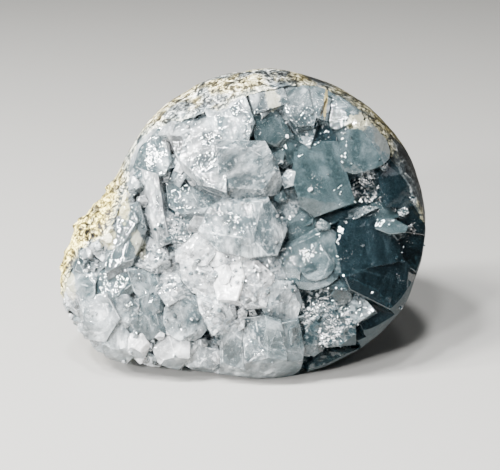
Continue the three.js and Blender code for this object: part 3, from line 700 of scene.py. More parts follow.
def small_crystals():
    draw = seeded(SMALL_DRAW)
    found = []
    for row in SMALL_ROWS:
        for column in SMALL_COLUMNS:
            x = (column + math.fmod(row, 2) / 2) * SMALL_PITCH + (draw() - 0.5) * SMALL_STRAY
            y = row * SMALL_PITCH * SMALL_ROW_PITCH + (draw() - 0.5) * SMALL_STRAY
            count = math.floor(mix(*SMALL_CORNERS, draw()) + 0.5)
            start = draw() * math.pi
            radius = mix(*SMALL_WIDTH, draw()) / 2
            outline = polygon_round(x, y, start, radius, count, SMALL_UNEVEN, draw)
            at_rim = inside_mouth(x, y) < RIM_BAND
            inset = mix(*(SMALL_RIM_INSET if at_rim else SMALL_INSET), draw())
            lean = lean_at(x, y, SMALL_FAN, SMALL_LEAN, draw)
            place = row * SMALL_ROW_SEEDS + column
            if is_free(x, y, SMALL_LEAST_SKIN, SMALL_PAST_RIM):
                tone = tone_at(x, seeded(TONE_SEEDS + place))
                found.append((outline, inset, lean, tone, CRUMBLE_SMALL, SMALL_SEEDS + place))
    return found


small = small_crystals()
print(len(small), "small crystals")

# %% [markdown]
# ## The fine crystals
# The gaps that are left would look like deep dark joints. On the real crust they are filled too, with
# crystals of a few millimetres. A bumpy texture could stand for them, but light enters them like the
# others, so a finer grid of the same kind follows.

# %% The fine crystals
FINE_ROWS, FINE_COLUMNS = range(-19, 20), range(-23, 24)
FINE_PITCH = 3.1
FINE_STRAY = 0.8
FINE_WIDTH = (2.4, 5.2)
FINE_UNEVEN = 0.5
FINE_BELOW = (0.6, 3.4)
FINE_RIM_INSET = (-1.5, 0.6)
FINE_RIM_BAND = (2, 9)
FINE_LEAN = 0.55
FINE_FAN = 0.006
FINE_LEAST_SKIN = 5
FINE_PAST_RIM = -1.5
FINE_CORNERS = (4, 7)
FINE_DRAW, FINE_ROW_SEEDS = 33, 50


def local_inset(x, y):
    """How deep the nearest large crystal lies."""
    return min(LARGE, key=lambda one: math.dist((x, y), middle_of(one[0])))[1]


def fine_crystals():
    draw = seeded(FINE_DRAW)
    found = []
    for row in FINE_ROWS:
        for column in FINE_COLUMNS:
            x = (column + (draw() - 0.5) * FINE_STRAY) * FINE_PITCH
            y = (row + (draw() - 0.5) * FINE_STRAY) * FINE_PITCH
            radius = mix(*FINE_WIDTH, draw()) / 2
            count = int(mix(*FINE_CORNERS, draw()))
            outline = polygon_round(x, y, draw() * math.pi, radius, count, FINE_UNEVEN, draw)
            at_rim = mix(*FINE_RIM_INSET, draw())
            inside = local_inset(x, y) + mix(*FINE_BELOW, draw())
            inset = mix(at_rim, inside, smoothstep(inside_mouth(x, y), *FINE_RIM_BAND))
            lean = lean_at(x, y, FINE_FAN, FINE_LEAN, draw)
            tone = tone_at(x, draw)
            if is_free(x, y, FINE_LEAST_SKIN, FINE_PAST_RIM):
                seed = FINE_SEEDS + row * FINE_ROW_SEEDS + column
                found.append((outline, inset, lean, tone, CRUMBLE_FINE, seed))
    return found


fine = fine_crystals()
print(len(fine), "fine crystals")

# %% [markdown]
# ## Growth steps
# Crystals grow in layers, and the last layers stop short of the edges. A bump texture would show such a
# step as a line, but not as an edge that catches light. So a thin plate with an outline of its own stands
# a little proud of the front of some large crystals.

# %% Growth steps
STEP_SHARE = 0.45
STEP_RISE = (0.15, 0.45)
STEP_SIZE = (0.5, 0.85)
STEP_LEAST = 6
STEP_UNEVEN = 0.35
STEP_SEEDS = 3000


def growth_steps(outline, inset, lean, tone, crumble, seed):
    draw = seeded(seed + STEP_SEEDS)
    x, y = middle_of(outline)
    corner = outline[int(draw() * len(outline))]
    size = mix(*STEP_SIZE, draw())
    rise = mix(*STEP_RISE, draw())
    move = [(end - start) * (1 - size) for end, start in zip(corner, (x, y))]
    bend = [1 + (draw() - 0.5) * STEP_UNEVEN for _ in outline]
    if draw() > STEP_SHARE or radius_of(outline, x, y) * 2 < STEP_LEAST:
        return []
    plate = tuple(
        (x + move[0] + (a - x) * size * k, y + move[1] + (b - y) * size * k)
        for (a, b), k in zip(rounded(outline), (k for k in bend for _ in range(2)))
    )
    return [(plate, inset - rise, lean, tone, crumble, seed + STEP_SEEDS)]


large = [(*one, CRUMBLE_LARGE if i in CRUMBLY else 0, LARGE_SEEDS + i) for i, one in enumerate(LARGE)]
steps = [plate for one in large for plate in growth_steps(*one)]
print(len(steps), "growth steps")

# %% [markdown]
# ## One crust
# The crystals grew into each other, so they are one solid. Blocks that only overlap would do for an opaque
# stone, but in a clear one every hidden wall shows. A boolean union takes those walls out. The solver for
# closed solids joins hundreds of blocks in a second or two.

# %% Booleans


def combine(piece, operation, *others):
    """Booleans others into piece and removes them."""
    group = bpy.data.collections.new("group")
    bpy.context.scene.collection.children.link(group)
    for other in others:
        for home in other.users_collection:
            home.objects.unlink(other)
        group.objects.link(other)
    cut = piece.modifiers.new("cut", "BOOLEAN")
    cut.operation = operation
    cut.operand_type = "COLLECTION"
    cut.collection = group
    cut.solver = "MANIFOLD"
    graph = bpy.context.evaluated_depsgraph_get()
    mesh = bpy.data.meshes.new_from_object(piece.evaluated_get(graph))
    piece.modifiers.clear()
    old, piece.data = piece.data, mesh
    bpy.data.meshes.remove(old)
    for other in others:
        used = other.data
        bpy.data.objects.remove(other)
        bpy.data.meshes.remove(used)
    bpy.data.collections.remove(group)
    return piece


# %% Join the crystals
BEVEL = 0.25
BLOCK_REACH = 26
BLOCK_DEPTH = -9
SHADE_SEEDS = 9000


def crystal(outline, inset, lean, tone, crumble, seed):
    x, y = middle_of(outline)
    is_large = seed < SMALL_SEEDS
    row = seed - LARGE_SEEDS
    sides = rounded(outline) if row in ROUNDED else outline
    planes = crystal_planes(sides, inset, lean, seed, GROWN if is_large else 0)
    if row in RIDGES:
        planes += ridge_planes(outline, inset, lean, RIDGES[row])
    elif is_large:
        planes += front_facets(outline, inset, lean, seed)
    numbers = {"clearness": tone, "shade": seeded(SHADE_SEEDS + seed)(), "crumble": crumble}
    middle = Vector((x, y, tips_depth(x, y) - inset))
    return keep(cut_block(planes, middle, BLOCK_REACH, BLOCK_DEPTH, BEVEL, numbers), "block")


blocks = [crystal(*one) for one in large + small + fine + steps]
crust = combine(blocks[0], "UNION", *blocks[1:])
print("joined:", len(crust.data.polygons), "faces")

# %% [markdown]
# ## Skin and bed
# In front, the real crust ends at the ground skin, where the machine cut stone and crystal alike. Behind
# the crystals lies the bed that they grew from, a lumpy layer a few millimetres down. Both are the stone's
# own form again: the skin as a cutter, grown by a hair so that the crust isn't level with the stone, and
# the bed with its front pushed down below the tips.

# %% Skin in front and bed behind
CRYSTALS_PAST = (0.3, 0.8)
LIMIT_SPLITS, BED_SPLITS = 6, 7
BED_PAST = (-0.6, -0.6)
BED_INSET, BED_RIM_INSET = 10, 2.5
BED_LOWEST = 0.5
BED_LUMP = 1.2
BED_CELL = 2.2
BED_RIM = (0, 4)
GROUND_NUMBERS = {"clearness": 0.5, "shade": 0.5, "crumble": 0.1, "ground": 1}
BED_NUMBERS = {"clearness": 0.4, "shade": 0.4, "crumble": 1}


def number_mesh(piece, numbers):
    bm = bmesh.new()
    bm.from_mesh(piece.data)
    add_layers(bm)
    number_faces(bm, bm.faces, numbers)
    bm.to_mesh(piece.data)
    bm.free()
    return piece


limit = number_mesh(stone_skin("limit", LIMIT_SPLITS, CRYSTALS_PAST, True), GROUND_NUMBERS)
crust = combine(crust, "INTERSECT", limit)
bed = number_mesh(stone_skin("bed", BED_SPLITS, BED_PAST, False), BED_NUMBERS)
lowered = get_points(bed.data)
for point in lowered:
    x, y, z = point
    if z > 0:
        lump = noise.cell(Vector(point) / BED_CELL) * BED_LUMP
        drop = mix(BED_RIM_INSET, BED_INSET + lump, smoothstep(inside_mouth(x, y), *BED_RIM))
        point[2] = min(z, max(tips_depth(x, y) - drop, BED_LOWEST))
set_points(bed.data, lowered)
crust = combine(crust, "UNION", bed)
print("on their bed:", len(crust.data.polygons), "faces")

# %% [markdown]
# ## Sugar
# The last crystals to grow are tiny and sit on the others like sugar, thick in the gaps and thin on the
# big faces. Placed by hand they would take days. A ray sent down onto the crust finds where each one
# stands, and chance says which places are taken. They are short five-sided cones with a flat end, so that
# each costs little.

# %% Where sugar grows
SUGAR_ROWS, SUGAR_COLUMNS = range(-32, 33), range(-36, 37)
SUGAR_DRAW = 21
SUGAR_PITCH = 1.9
SUGAR_FROM_RIM = 1.5
SUGAR_RADIUS = (0.4, 1.2)
SUGAR_HEIGHT = (1, 2.4)
SUGAR_SIDES = 5
SUGAR_TAPER = 0.6
SUGAR_TURN = 6.3
SUGAR_UPRIGHT, SUGAR_TILT = 0.6, 1.4
SUGAR_CRUMBLE = 0.6
MILKY_MOST, CLEAR_MOST, CLEAR_BAND = 0.7, 0.85, (15, 40)
# Where they grew thick: the middle of each patch and its half size.
SUGAR_ZONES = (
    ((-20, 0), (6, 4.5)), ((29, -30), (9, 7)), ((16, 31), (4, 5)), ((-6, -14), (15, 5)),
    ((-30, -5), (6, 8)), ((10, -22), (8, 4)), ((-16, -30), (10, 5)),
)
SUGAR_ON_FACES, SUGAR_IN_GAPS, SUGAR_IN_ZONES = 0.03, 0.3, 0.4
GAP_DEPTH = 9


def sugar_chance(x, y, depth):
    for (a, b), (half_x, half_y) in SUGAR_ZONES:
        if ((x - a) / half_x) ** 2 + ((y - b) / half_y) ** 2 < 1:
            return SUGAR_IN_ZONES
    return SUGAR_IN_GAPS if depth > GAP_DEPTH else SUGAR_ON_FACES


print(len(SUGAR_ZONES), "patches where sugar is thick")

# %% Sugar crystals


def sugar_grain(place, normal, spin, tilt_x, tilt_y, size, height, tone):
    radius = mix(*SUGAR_RADIUS, size * size)
    axis = (normal + Vector((tilt_x - 0.5, tilt_y - 0.5, SUGAR_UPRIGHT)) * SUGAR_TILT).normalized()
    turn = axis.to_track_quat("Z", "Y").to_matrix().to_4x4() @ Matrix.Rotation(spin * SUGAR_TURN, 4, "Z")
    bm = bmesh.new()
    add_layers(bm)
    bmesh.ops.create_cone(
        bm, cap_ends=True, segments=SUGAR_SIDES, radius1=radius, radius2=radius * SUGAR_TAPER,
        depth=mix(*SUGAR_HEIGHT, height), matrix=Matrix.Translation(place) @ turn,
    )
    number_faces(bm, bm.faces, {"clearness": tone, "shade": spin, "crumble": SUGAR_CRUMBLE})
    return keep(bm, "grain")


def sugar(surface):
    draw = seeded(SUGAR_DRAW)
    rays = BVHTree.FromObject(surface, bpy.context.evaluated_depsgraph_get())
    grains = []
    for row in SUGAR_ROWS:
        for column in SUGAR_COLUMNS:
            x = (column + draw()) * SUGAR_PITCH
            y = (row + draw()) * SUGAR_PITCH
            wish, spin, tilt_x, tilt_y, size, height, tone = (draw() for _ in range(7))
            if inside_mouth(x, y) < SUGAR_FROM_RIM:
                continue
            place, normal, _, _ = rays.ray_cast(Vector((x, y, HOLLOW_REACH)), Vector((0, 0, -1)))
            if place is None or wish > sugar_chance(x, y, tips_depth(x, y) - place.z):
                continue
            clear = max(tone * MILKY_MOST, CLEAR_MOST * smoothstep(x, *CLEAR_BAND))
            grains.append(sugar_grain(place, normal, spin, tilt_x, tilt_y, size, height, clear))
    return grains


grains = sugar(crust)
print(len(grains), "sugar crystals")
crust = combine(crust, "UNION", *grains)
print("with its sugar:", len(crust.data.polygons), "faces")

# %% [markdown]
# ## Fit to the stone
# The real crust has grown onto the wall of the hollow with nothing in between. The hollow cuts the crust
# to its size behind. Cut exactly, the two would share a surface and flicker, so the crust runs a hair
# into the stone, and light meets stone behind the crystal and not a film of air.

# %% Cut to the hollow and the floor
SEAT_OVERLAP = 0.3
FLOOR_CLEARANCE = 0.8


def drop_flaps(bm):
    """Takes out faces that the cuts left back to back on the same corners."""
    on_corners = {}
    for face in bm.faces:
        on_corners.setdefault(frozenset(face.verts), []).append(face)
    flaps = [face for faces in on_corners.values() if len(faces) > 1 for face in faces]
    bmesh.ops.delete(bm, geom=flaps, context="FACES")


def cut_floor(piece, clearance):
    bm = bmesh.new()
    bm.from_mesh(piece.data)
    cut = bmesh.ops.bisect_plane(
        bm,
        geom=bm.verts[:] + bm.edges[:] + bm.faces[:],
        plane_co=FLOOR_POINT + FLOOR_NORMAL * clearance,
        plane_no=-FLOOR_NORMAL,
        clear_outer=True,
    )
    rim = [g for g in cut["geom_cut"] if isinstance(g, bmesh.types.BMEdge)]
    if rim:
        bmesh.ops.holes_fill(bm, edges=rim)
    bmesh.ops.triangulate(bm, faces=[f for f in bm.faces if len(f.verts) > 4])
    drop_flaps(bm)
    bm.to_mesh(piece.data)
    bm.free()


seat = number_mesh(hollow("seat", -SEAT_OVERLAP), {"clearness": 0.5, "shade": 0.5})
crust = combine(crust, "INTERSECT", seat)
cut_floor(crust, FLOOR_CLEARANCE)
print("cut to the hollow:", len(crust.data.polygons), "faces")

# %% Tones of the ground faces and the bed
IS_GROUND, IS_BED = 0.5, 0.95
BED_TONES = (0.25, 1)
BED_TONE_BAND = (0, 38)


def tone_by_place(piece):
    """Ground faces and the bed get clearer and darker to the right, like the crystals."""
    clearness, crumble, ground = (piece.data.attributes[n].data for n in ("clearness", "crumble", "ground"))
    for face in piece.data.polygons:
        if ground[face.index].value > IS_GROUND or crumble[face.index].value > IS_BED:
            clearness[face.index].value = mix(*BED_TONES, smoothstep(face.center.x, *BED_TONE_BAND))


tone_by_place(crust)
print("tones from", BED_TONES[0], "on the left to", BED_TONES[1], "on the right")

# %% [markdown]
# ## The stone skin
# The dome was ground by machine and is smooth with fine pits. The lobe is natural stone, rough and full
# of small holes. A bump texture would do for the dome, but the lobe's outline has to be rough too. So both
# are one mesh whose points move along their rays by noise, with more points on the lobe.

# %% Relief of the skin
DOME_ONLY = 0.01
PIT_CELL, PIT_RADIUS, PIT_EDGE, PIT_DEPTH = 4.2, 0.5, 0.35, 1.5
PIT_CHANCE = 7.3
GROUND_WAVES, ROUGH_WAVES = (0.9, 2.1, 4), (0.8, 2.2, 5)
ROUGH_CELL, ROUGH_RISE = 7, 0.7
GROUND_CELL, GROUND_RISE = 2.4, 0.14
# The larger holes of the lobe: their place on the face and their radius.
HOLES = (
    (-48, 6, 1.6), (-49.5, 0, 1.6), (-48.3, -3.8, 2), (-43.2, 13, 1.7), (-40.8, 12, 1.4), (-52, 2, 1.2),
    (-46, 9.5, 1.1),
)
HOLE_DEPTH, HOLE_EDGE = 2, 0.6


def relief(point, share):
    """How far noise lifts a point of the skin, in mm."""
    ground = noise.fractal(point / GROUND_CELL, *GROUND_WAVES) * GROUND_RISE
    if share < DOME_ONLY:
        return ground
    rough = noise.fractal(point / ROUGH_CELL, *ROUGH_WAVES) * ROUGH_RISE
    distances, cells = noise.voronoi(point / PIT_CELL)
    deep = noise.cell(cells[0] * PIT_CHANCE)
    pit = -PIT_DEPTH * smoothstep(PIT_RADIUS - distances[0], 0, PIT_EDGE) * deep
    for x, y, radius in HOLES:
        inside = radius - math.hypot(point.x - x, point.y - y)
        pit -= HOLE_DEPTH * smoothstep(inside, 0, radius * HOLE_EDGE)
    return mix(ground, rough + pit, share)


print(len(HOLES), "larger holes in the lobe")

# %% Stone skin
SKIN_SPLITS = 7
LOBE_SHARE, LOBE_BACK = 0.35, -12


def rough_skin(name):
    bm = bmesh.new()
    bmesh.ops.create_icosphere(bm, subdivisions=SKIN_SPLITS, radius=1)
    rays = np.array([v.co.normalized() for v in bm.verts])
    points, share = skin_points(rays, NO_GROWTH, True)
    bm.verts.ensure_lookup_table()
    on_lobe = (share > LOBE_SHARE) & (points[:, 2] > LOBE_BACK)
    edges = [e for e in bm.edges if on_lobe[e.verts[0].index] and on_lobe[e.verts[1].index]]
    bmesh.ops.subdivide_edges(bm, edges=edges, cuts=1, use_grid_fill=True)
    bmesh.ops.triangulate(bm, faces=[f for f in bm.faces if len(f.verts) > 3])
    piece = keep(bm, name)
    rays = directions(get_points(piece.data))
    points, share = skin_points(rays, NO_GROWTH, True)
    lift = np.array([relief(Vector(p), s) for p, s in zip(points, share)])
    set_points(piece.data, points + rays * lift[:, None])
    return piece


rind = rough_skin("stone_rind")
print("skin:", len(rind.data.polygons), "faces")
rind = combine(rind, "DIFFERENCE", hollow("cavity", 0))
cut_floor(rind, 0)
print("rind:", len(rind.data.polygons), "faces")

# %% [markdown]
# ## Numbers on the stone
# On the real stone the finish changes from place to place: cream and rough on the lobe, grey on the ground
# dome, frosty near the crystals. The inner wall is dark, partly its grey and partly painted shade. Painted
# masks would do, but formulas that built the form know these places already, so each point of the mesh
# carries three numbers for the material.

# %% Stone numbers on points
WALL_DEPTH, WALL_BLEND = 1.4, 1.2
RIM_BLEND = 7


def point_number(mesh, name, values):
    made = mesh.attributes.new(name, "FLOAT", "POINT")
    made.data.foreach_set("value", np.asarray(values, dtype=np.float32))


points = get_points(rind.data)
from_middle = points - np.array(STONE_MIDDLE)
reach = np.linalg.norm(from_middle, axis=1)
skin, share = skin_points(from_middle / reach[:, None], NO_GROWTH, True)
below = np.linalg.norm(skin - np.array(STONE_MIDDLE), axis=1) - reach
to_mouth = np.array([inside_mouth(x, y) if z > 0 else -RIM_BLEND for x, y, z in points])
point_number(rind.data, "lobe", share)
point_number(rind.data, "wall", np.clip((below - WALL_DEPTH) / WALL_BLEND, 0, 1))
point_number(rind.data, "rim", np.clip(1 + to_mouth / RIM_BLEND, 0, 1))
print("points on the inner wall:", int((below > WALL_DEPTH).sum()))

# %% [markdown]
# ## Into place
# Everything so far lies in the face frame. The objects could be turned and moved, but then a pattern on
# object coordinates would slide. So one transform puts both meshes where the solid model has its own, and
# both objects stay at the origin. Edges sharper than an angle stay sharp: crystal edges nearly all do.

# %% Place the pieces
SHARP_CRYSTAL, SHARP_STONE = math.radians(14), math.radians(60)
crust.name = crust.data.name = "celestite_crust"
rind.name = rind.data.name = "stone_rind"
for piece, node, slot, sharp in (
    (crust, "crystal_crust", "celestite_crystal", SHARP_CRYSTAL),
    (rind, "rind", "rind_stone", SHARP_STONE),
):
    piece.data.transform(TO_WORLD)
    piece.data.shade_smooth()
    piece.data.set_sharp_from_angle(angle=sharp)
    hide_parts(node)
    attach(piece, "root")
    print(piece.name, "is", [round(v / MM, 1) for v in piece.dimensions], "mm")

# %% [markdown]
# ## Nodes
# A material is a tree of nodes. The editor shows them as boxes and wires, and one small function adds each
# of them here, with its settings, its sockets and its links. A tuple fills the sockets in their order and
# a dict fills them by name. Where a node stands for a value, its first output is linked. Colours are
# written as hex codes, as on a paint chart, and a second function turns them into linear light.
#
# Many nodes below are map ranges. The tuple of one says where its input starts and ends, and what it
# becomes there: (0.4, 0.65, 0.8, 0) sinks from 0.8 to 0 while the input goes from 0.4 to 0.65. A tuple
# of two goes from 0 to 1.

# %% Settings and colours
MULTIPLY, MULTIPLY_ADD, SUBTRACT, ADD, MAXIMUM, LESS_THAN, FRACT, SCALE, NORMALIZE = (
    {"operation": name}
    for name in "MULTIPLY MULTIPLY_ADD SUBTRACT ADD MAXIMUM LESS_THAN FRACT SCALE NORMALIZE".split()
)
OF_COLOURS = {"data_type": "RGBA"}


def srgb(code):
    """A hex colour as the linear colour that shaders use."""
    values = [int(code[i : i + 2], 16) / 255 for i in (1, 3, 5)]
    return (*(v / 12.92 if v <= 0.04045 else ((v + 0.055) / 1.055) ** 2.4 for v in values), 1)


print("a mid grey in linear light:", [round(v, 3) for v in srgb("#808080")[:3]])

# %% The node helper


def add(tree, kind, settings=None, sockets=(), stops=()):
    """Adds a node with its settings, the values or links of its sockets, and the stops of its ramp."""
    made = tree.nodes.new("ShaderNode" + kind)
    for name, value in (settings or {}).items():
        setattr(made, name, value)
    usable = [socket for socket in made.inputs if socket.enabled]
    if isinstance(sockets, dict):
        sockets = {next(s for s in usable if s.name == name): value for name, value in sockets.items()}
    else:
        sockets = dict(zip(usable, sockets))
    for socket, value in sockets.items():
        if isinstance(value, bpy.types.Node):
            value = next(output for output in value.outputs if output.enabled)
        if isinstance(value, bpy.types.NodeSocket):
            tree.links.new(value, socket)
        else:
            socket.default_value = value
    if stops:
        ramp = made.color_ramp.elements
        while len(ramp) < len(stops):
            ramp.new(0.5)
        for element, (position, colour) in zip(ramp, stops):
            element.position = position
            element.color = srgb(colour) if isinstance(colour, str) else (colour, colour, colour, 1)
    return made


def new_material(name):
    material = bpy.data.materials.new(name)
    material.use_nodes = True
    material.node_tree.nodes.clear()
    return material, material.node_tree


print("materials so far:", len(bpy.data.materials))

# %% [markdown]
# ## Where a pattern lies
# Patterns and marks are placed in the face frame, in millimetres, as the crystals were. Texture coordinates
# could be unwrapped, but a solid stone has its pattern all through, so object coordinates fit it better.
# Marks such as stains have a place of their own. A ball gradient, squeezed to the size of the mark and
# broken up by noise, gives each one a ragged edge.

# %% Frame and marks
MARK_EDGE_PER_MM = 0.4
MARK_DEPTH = 1000
MARK_RAGGED = 1.6
MARK_FROM, MARK_WHOLE = 0.95, 1.15
MARK_FADE = 0.12


def in_face_frame(tree):
    """Object coordinates turned into millimetres in the frame of the open face."""
    back = FACE_LEAN - math.pi / 2
    centre = Matrix.Rotation(back, 3, "X") @ FACE_CENTRE
    return add(tree, "Mapping", {}, {
        "Vector": add(tree, "TexCoord").outputs["Object"],
        "Location": -centre, "Rotation": (back, 0, 0), "Scale": (1 / MM, 1 / MM, 1 / MM),
    })


def mark(tree, mm, centre, half, turn, strength):
    """A mask that is as strong as it says round a point of the face and ends in a ragged edge."""
    wobble = add(tree, "TexNoise", {}, {
        "Vector": mm, "Scale": MARK_EDGE_PER_MM, "Detail": 5.0, "Roughness": 0.65,
    })
    local = add(tree, "Mapping", {"vector_type": "TEXTURE"}, {
        "Vector": mm, "Location": (*centre, 0), "Rotation": (0, 0, math.radians(turn)),
        "Scale": (*half, MARK_DEPTH),
    })
    ball = add(tree, "TexGradient", {"gradient_type": "SPHERICAL"}, {"Vector": local}).outputs["Fac"]
    ragged = add(tree, "Math", MULTIPLY_ADD, (wobble, MARK_RAGGED, ball))
    inner = add(tree, "MapRange", {}, (ragged, MARK_FROM, MARK_WHOLE))
    fade = add(tree, "MapRange", {}, (ball, 0, MARK_FADE))
    return add(tree, "Math", MULTIPLY, (add(tree, "Math", MULTIPLY, (inner, fade)), strength))


print("marks end within", MARK_FADE, "of their size")

# %% [markdown]
# ## Celestite
# Celestite is strontium sulphate, clear to milky and a pale blue that deepens with thickness. Its gloss is
# glassy and its index of refraction is 1.62. A plain glass would be too empty: the milky look is a cloud
# of tiny cracks and bubbles. So each crystal mixes clear glass with a white body, by its own clearness and
# by clouds that drift through it. Each scale below is in waves per millimetre, or one over a size.
#
# Some patterns turn with the crystal, so that no grain runs on from one crystal into the next.

# %% Start of the celestite
FULL_TURN = 6.28
TURN_AXIS = (0.3, 0.9, 0.4)
crystal_finish, tree = new_material("celestite_glassy")
mm = in_face_frame(tree)
clearness, shade, edge, crumble, ground = (
    add(tree, "Attribute", {"attribute_name": name}).outputs["Fac"] for name in FACE_NUMBERS
)
turn = add(tree, "Math", MULTIPLY, (shade, FULL_TURN))
own = add(tree, "VectorRotate", {"rotation_type": "AXIS_ANGLE"}, {
    "Vector": mm, "Axis": TURN_AXIS, "Angle": turn,
})
print("numbers read:", FACE_NUMBERS)

# %% [markdown]
# Crumbly places break up into facets of about a millimetre, each with a tilt and a tone of its own. Real
# facets of that size would cost millions of faces. A Voronoi texture gives a random colour for each cell,
# and that colour can stand for both: here for the tone, and later for the tilt.

# %% Crumbly places
FACET_MM = 1.4
WARP_PER_MM, WARP = 0.7, (4, 2, 4)
PATCH_PER_MM, PATCH_BAND = 0.16, (0.56, 0.66)
MILKY_SHARE = (0.4, 0.65, 0.8, 0)
shift = add(tree, "TexNoise", {}, {"Vector": mm, "Scale": WARP_PER_MM, "Detail": 3.0}).outputs["Color"]
warped = add(tree, "VectorMath", MULTIPLY_ADD, (shift, WARP, mm))
cells = add(tree, "TexVoronoi", {}, {"Vector": warped, "Scale": 1 / FACET_MM, "Randomness": 1.0})
patches = add(tree, "TexNoise", {}, {"Vector": mm, "Scale": PATCH_PER_MM, "Detail": 5.0, "Roughness": 0.6})
milky = add(tree, "MapRange", {}, (clearness, *MILKY_SHARE))
in_patch = add(tree, "Math", MULTIPLY, (add(tree, "MapRange", {}, (patches, *PATCH_BAND)), milky))
crumbly = add(tree, "Math", MAXIMUM, (crumble, in_patch))
tone = add(tree, "SeparateColor", {}, (cells.outputs["Color"],))
print("facets of", FACET_MM, "mm")

# %% [markdown]
# Clouds are what makes a crystal milky: wide veils, a finer mottle, hairline wisps of cracks, worn edges
# and chips; the white of the worn edges is partly a painted highlight along the bevels. They could be
# summed, but light sees the densest one, so the strongest wins at each point.

# %% Clouds
VEIL_MM, MOTTLE_MM, WISP_MM = 6, 1.6, 9
VEIL_STREAK = (1.6, 0.6, 0.6)
WEAR_PER_MM = 0.5
MOTTLED, WISPY, EDGE_WEAR_AND_HIGHLIGHT = (0.52, 0.65, 0, 0.85), (0.7, 1.1, 0, 0.7), (0.42, 0.58)
PALE_FACETS = (0.55, 0.75)
SHEER = (0.1, 0.75, 1, 0.2)
VEIL_STOPS = ((0.44, 0), (0.5, 0.25), (0.58, 0.45), (0.66, 1))
streaked = add(tree, "Mapping", {}, {"Vector": own, "Scale": VEIL_STREAK})
veils = add(tree, "TexNoise", {}, {
    "Vector": streaked, "Scale": 1 / VEIL_MM, "Detail": 5.0, "Roughness": 0.6, "Distortion": 0.3,
})
mottles = add(tree, "TexNoise", {}, {"Vector": mm, "Scale": 1 / MOTTLE_MM, "Detail": 6.0, "Roughness": 0.7})
wisps = add(tree, "TexNoise", {"noise_type": "RIDGED_MULTIFRACTAL"}, {
    "Vector": own, "Scale": 1 / WISP_MM, "Detail": 6.0, "Roughness": 0.6, "Distortion": 2.2,
})
edge_wear_and_highlight = add(tree, "TexNoise", {}, {"Vector": mm, "Scale": WEAR_PER_MM, "Detail": 4.0})
cloud = add(tree, "ValToRGB", {}, (veils,), VEIL_STOPS)
for layer in (
    add(tree, "MapRange", {}, (mottles, *MOTTLED)),
    add(tree, "MapRange", {}, (wisps, *WISPY)),
    # White on the bevels: partly wear, partly a painted highlight along the edges.
    add(tree, "Math", MULTIPLY, (edge, add(tree, "MapRange", {}, (edge_wear_and_highlight, *EDGE_WEAR_AND_HIGHLIGHT)))),
    add(tree, "Math", MULTIPLY, (crumbly, add(tree, "MapRange", {}, (tone, *PALE_FACETS)))),
):
    cloud = add(tree, "Math", MAXIMUM, (cloud, layer))
sheer = add(tree, "MapRange", {}, (clearness, *SHEER))
cloud = add(tree, "Math", MULTIPLY, (cloud, sheer))
print("veils of", VEIL_MM, "mm, wisps of", WISP_MM, "mm")

# %% [markdown]
# Flecks are chips of well under a millimetre that show white on the clear crystals, partly real white grit
# and partly painted glints for flashes of light. A finer Voronoi places them: a dot where a cell's middle
# is near, thicker in clusters, and whole cells where the crystal crumbles.

# %% Flecks
FLECK_MM = 0.6
CLUSTER_PER_MM, CLUSTERED = 0.15, (0.42, 0.55)
DOT_SIZES = (0.5, 0.7, 0, 0.16)
WHITE_AND_GLINT_CHIPS, FLECKED = (0.55, 0.85), (0.5, 0.62)
chips = add(tree, "TexVoronoi", {}, {"Vector": warped, "Scale": 1 / FLECK_MM, "Randomness": 1.0})
clusters = add(tree, "TexNoise", {}, {"Vector": mm, "Scale": CLUSTER_PER_MM, "Detail": 4.0})
dot_size = add(tree, "MapRange", {}, (clusters, *DOT_SIZES))
dots = add(tree, "Math", LESS_THAN, (chips.outputs["Distance"], dot_size))
spark = add(tree, "SeparateColor", {}, (chips.outputs["Color"],))
chips_and_glints = add(tree, "MapRange", {}, (spark, *WHITE_AND_GLINT_CHIPS))
for share_of in (
    add(tree, "MapRange", {}, (clusters, *CLUSTERED)),
    add(tree, "MapRange", {}, (clearness, *FLECKED)),
    crumble,
):
    chips_and_glints = add(tree, "Math", MULTIPLY, (chips_and_glints, share_of))
# The white flecks are partly grit and partly painted glints.
fleck_and_glint = add(tree, "Math", MAXIMUM, (dots, chips_and_glints))
print("flecks of", FLECK_MM, "mm")

# %% [markdown]
# The colour of the body goes from milk white to a deep grey blue as the crystal gets clearer, and the
# clouds, flecks and marks lie over it. The marks are iron and clay stains, cracks and inclusions, each at
# its own place, and one near-black streak low on the right is painted shade in a slit. All of them also
# make the crystal less see-through, so a second value, thin, sinks with each layer.

# %% Body colour and marks
BODY_STOPS = (
    (0, "#EEF1F2"), (0.1, "#A9B1B5"), (0.3, "#6A797E"), (0.6, "#5A7075"), (0.75, "#4B6266"),
    (0.84, "#33505A"), (1, "#28454C"),
)
CLOUD_STOPS = ((0, "#FFFFFF"), (0.5, "#DCE5E9"), (0.8, "#879AA3"), (1, "#5F7681"))
CLOUD_HIDES, MARK_HIDES = -0.6, -0.8
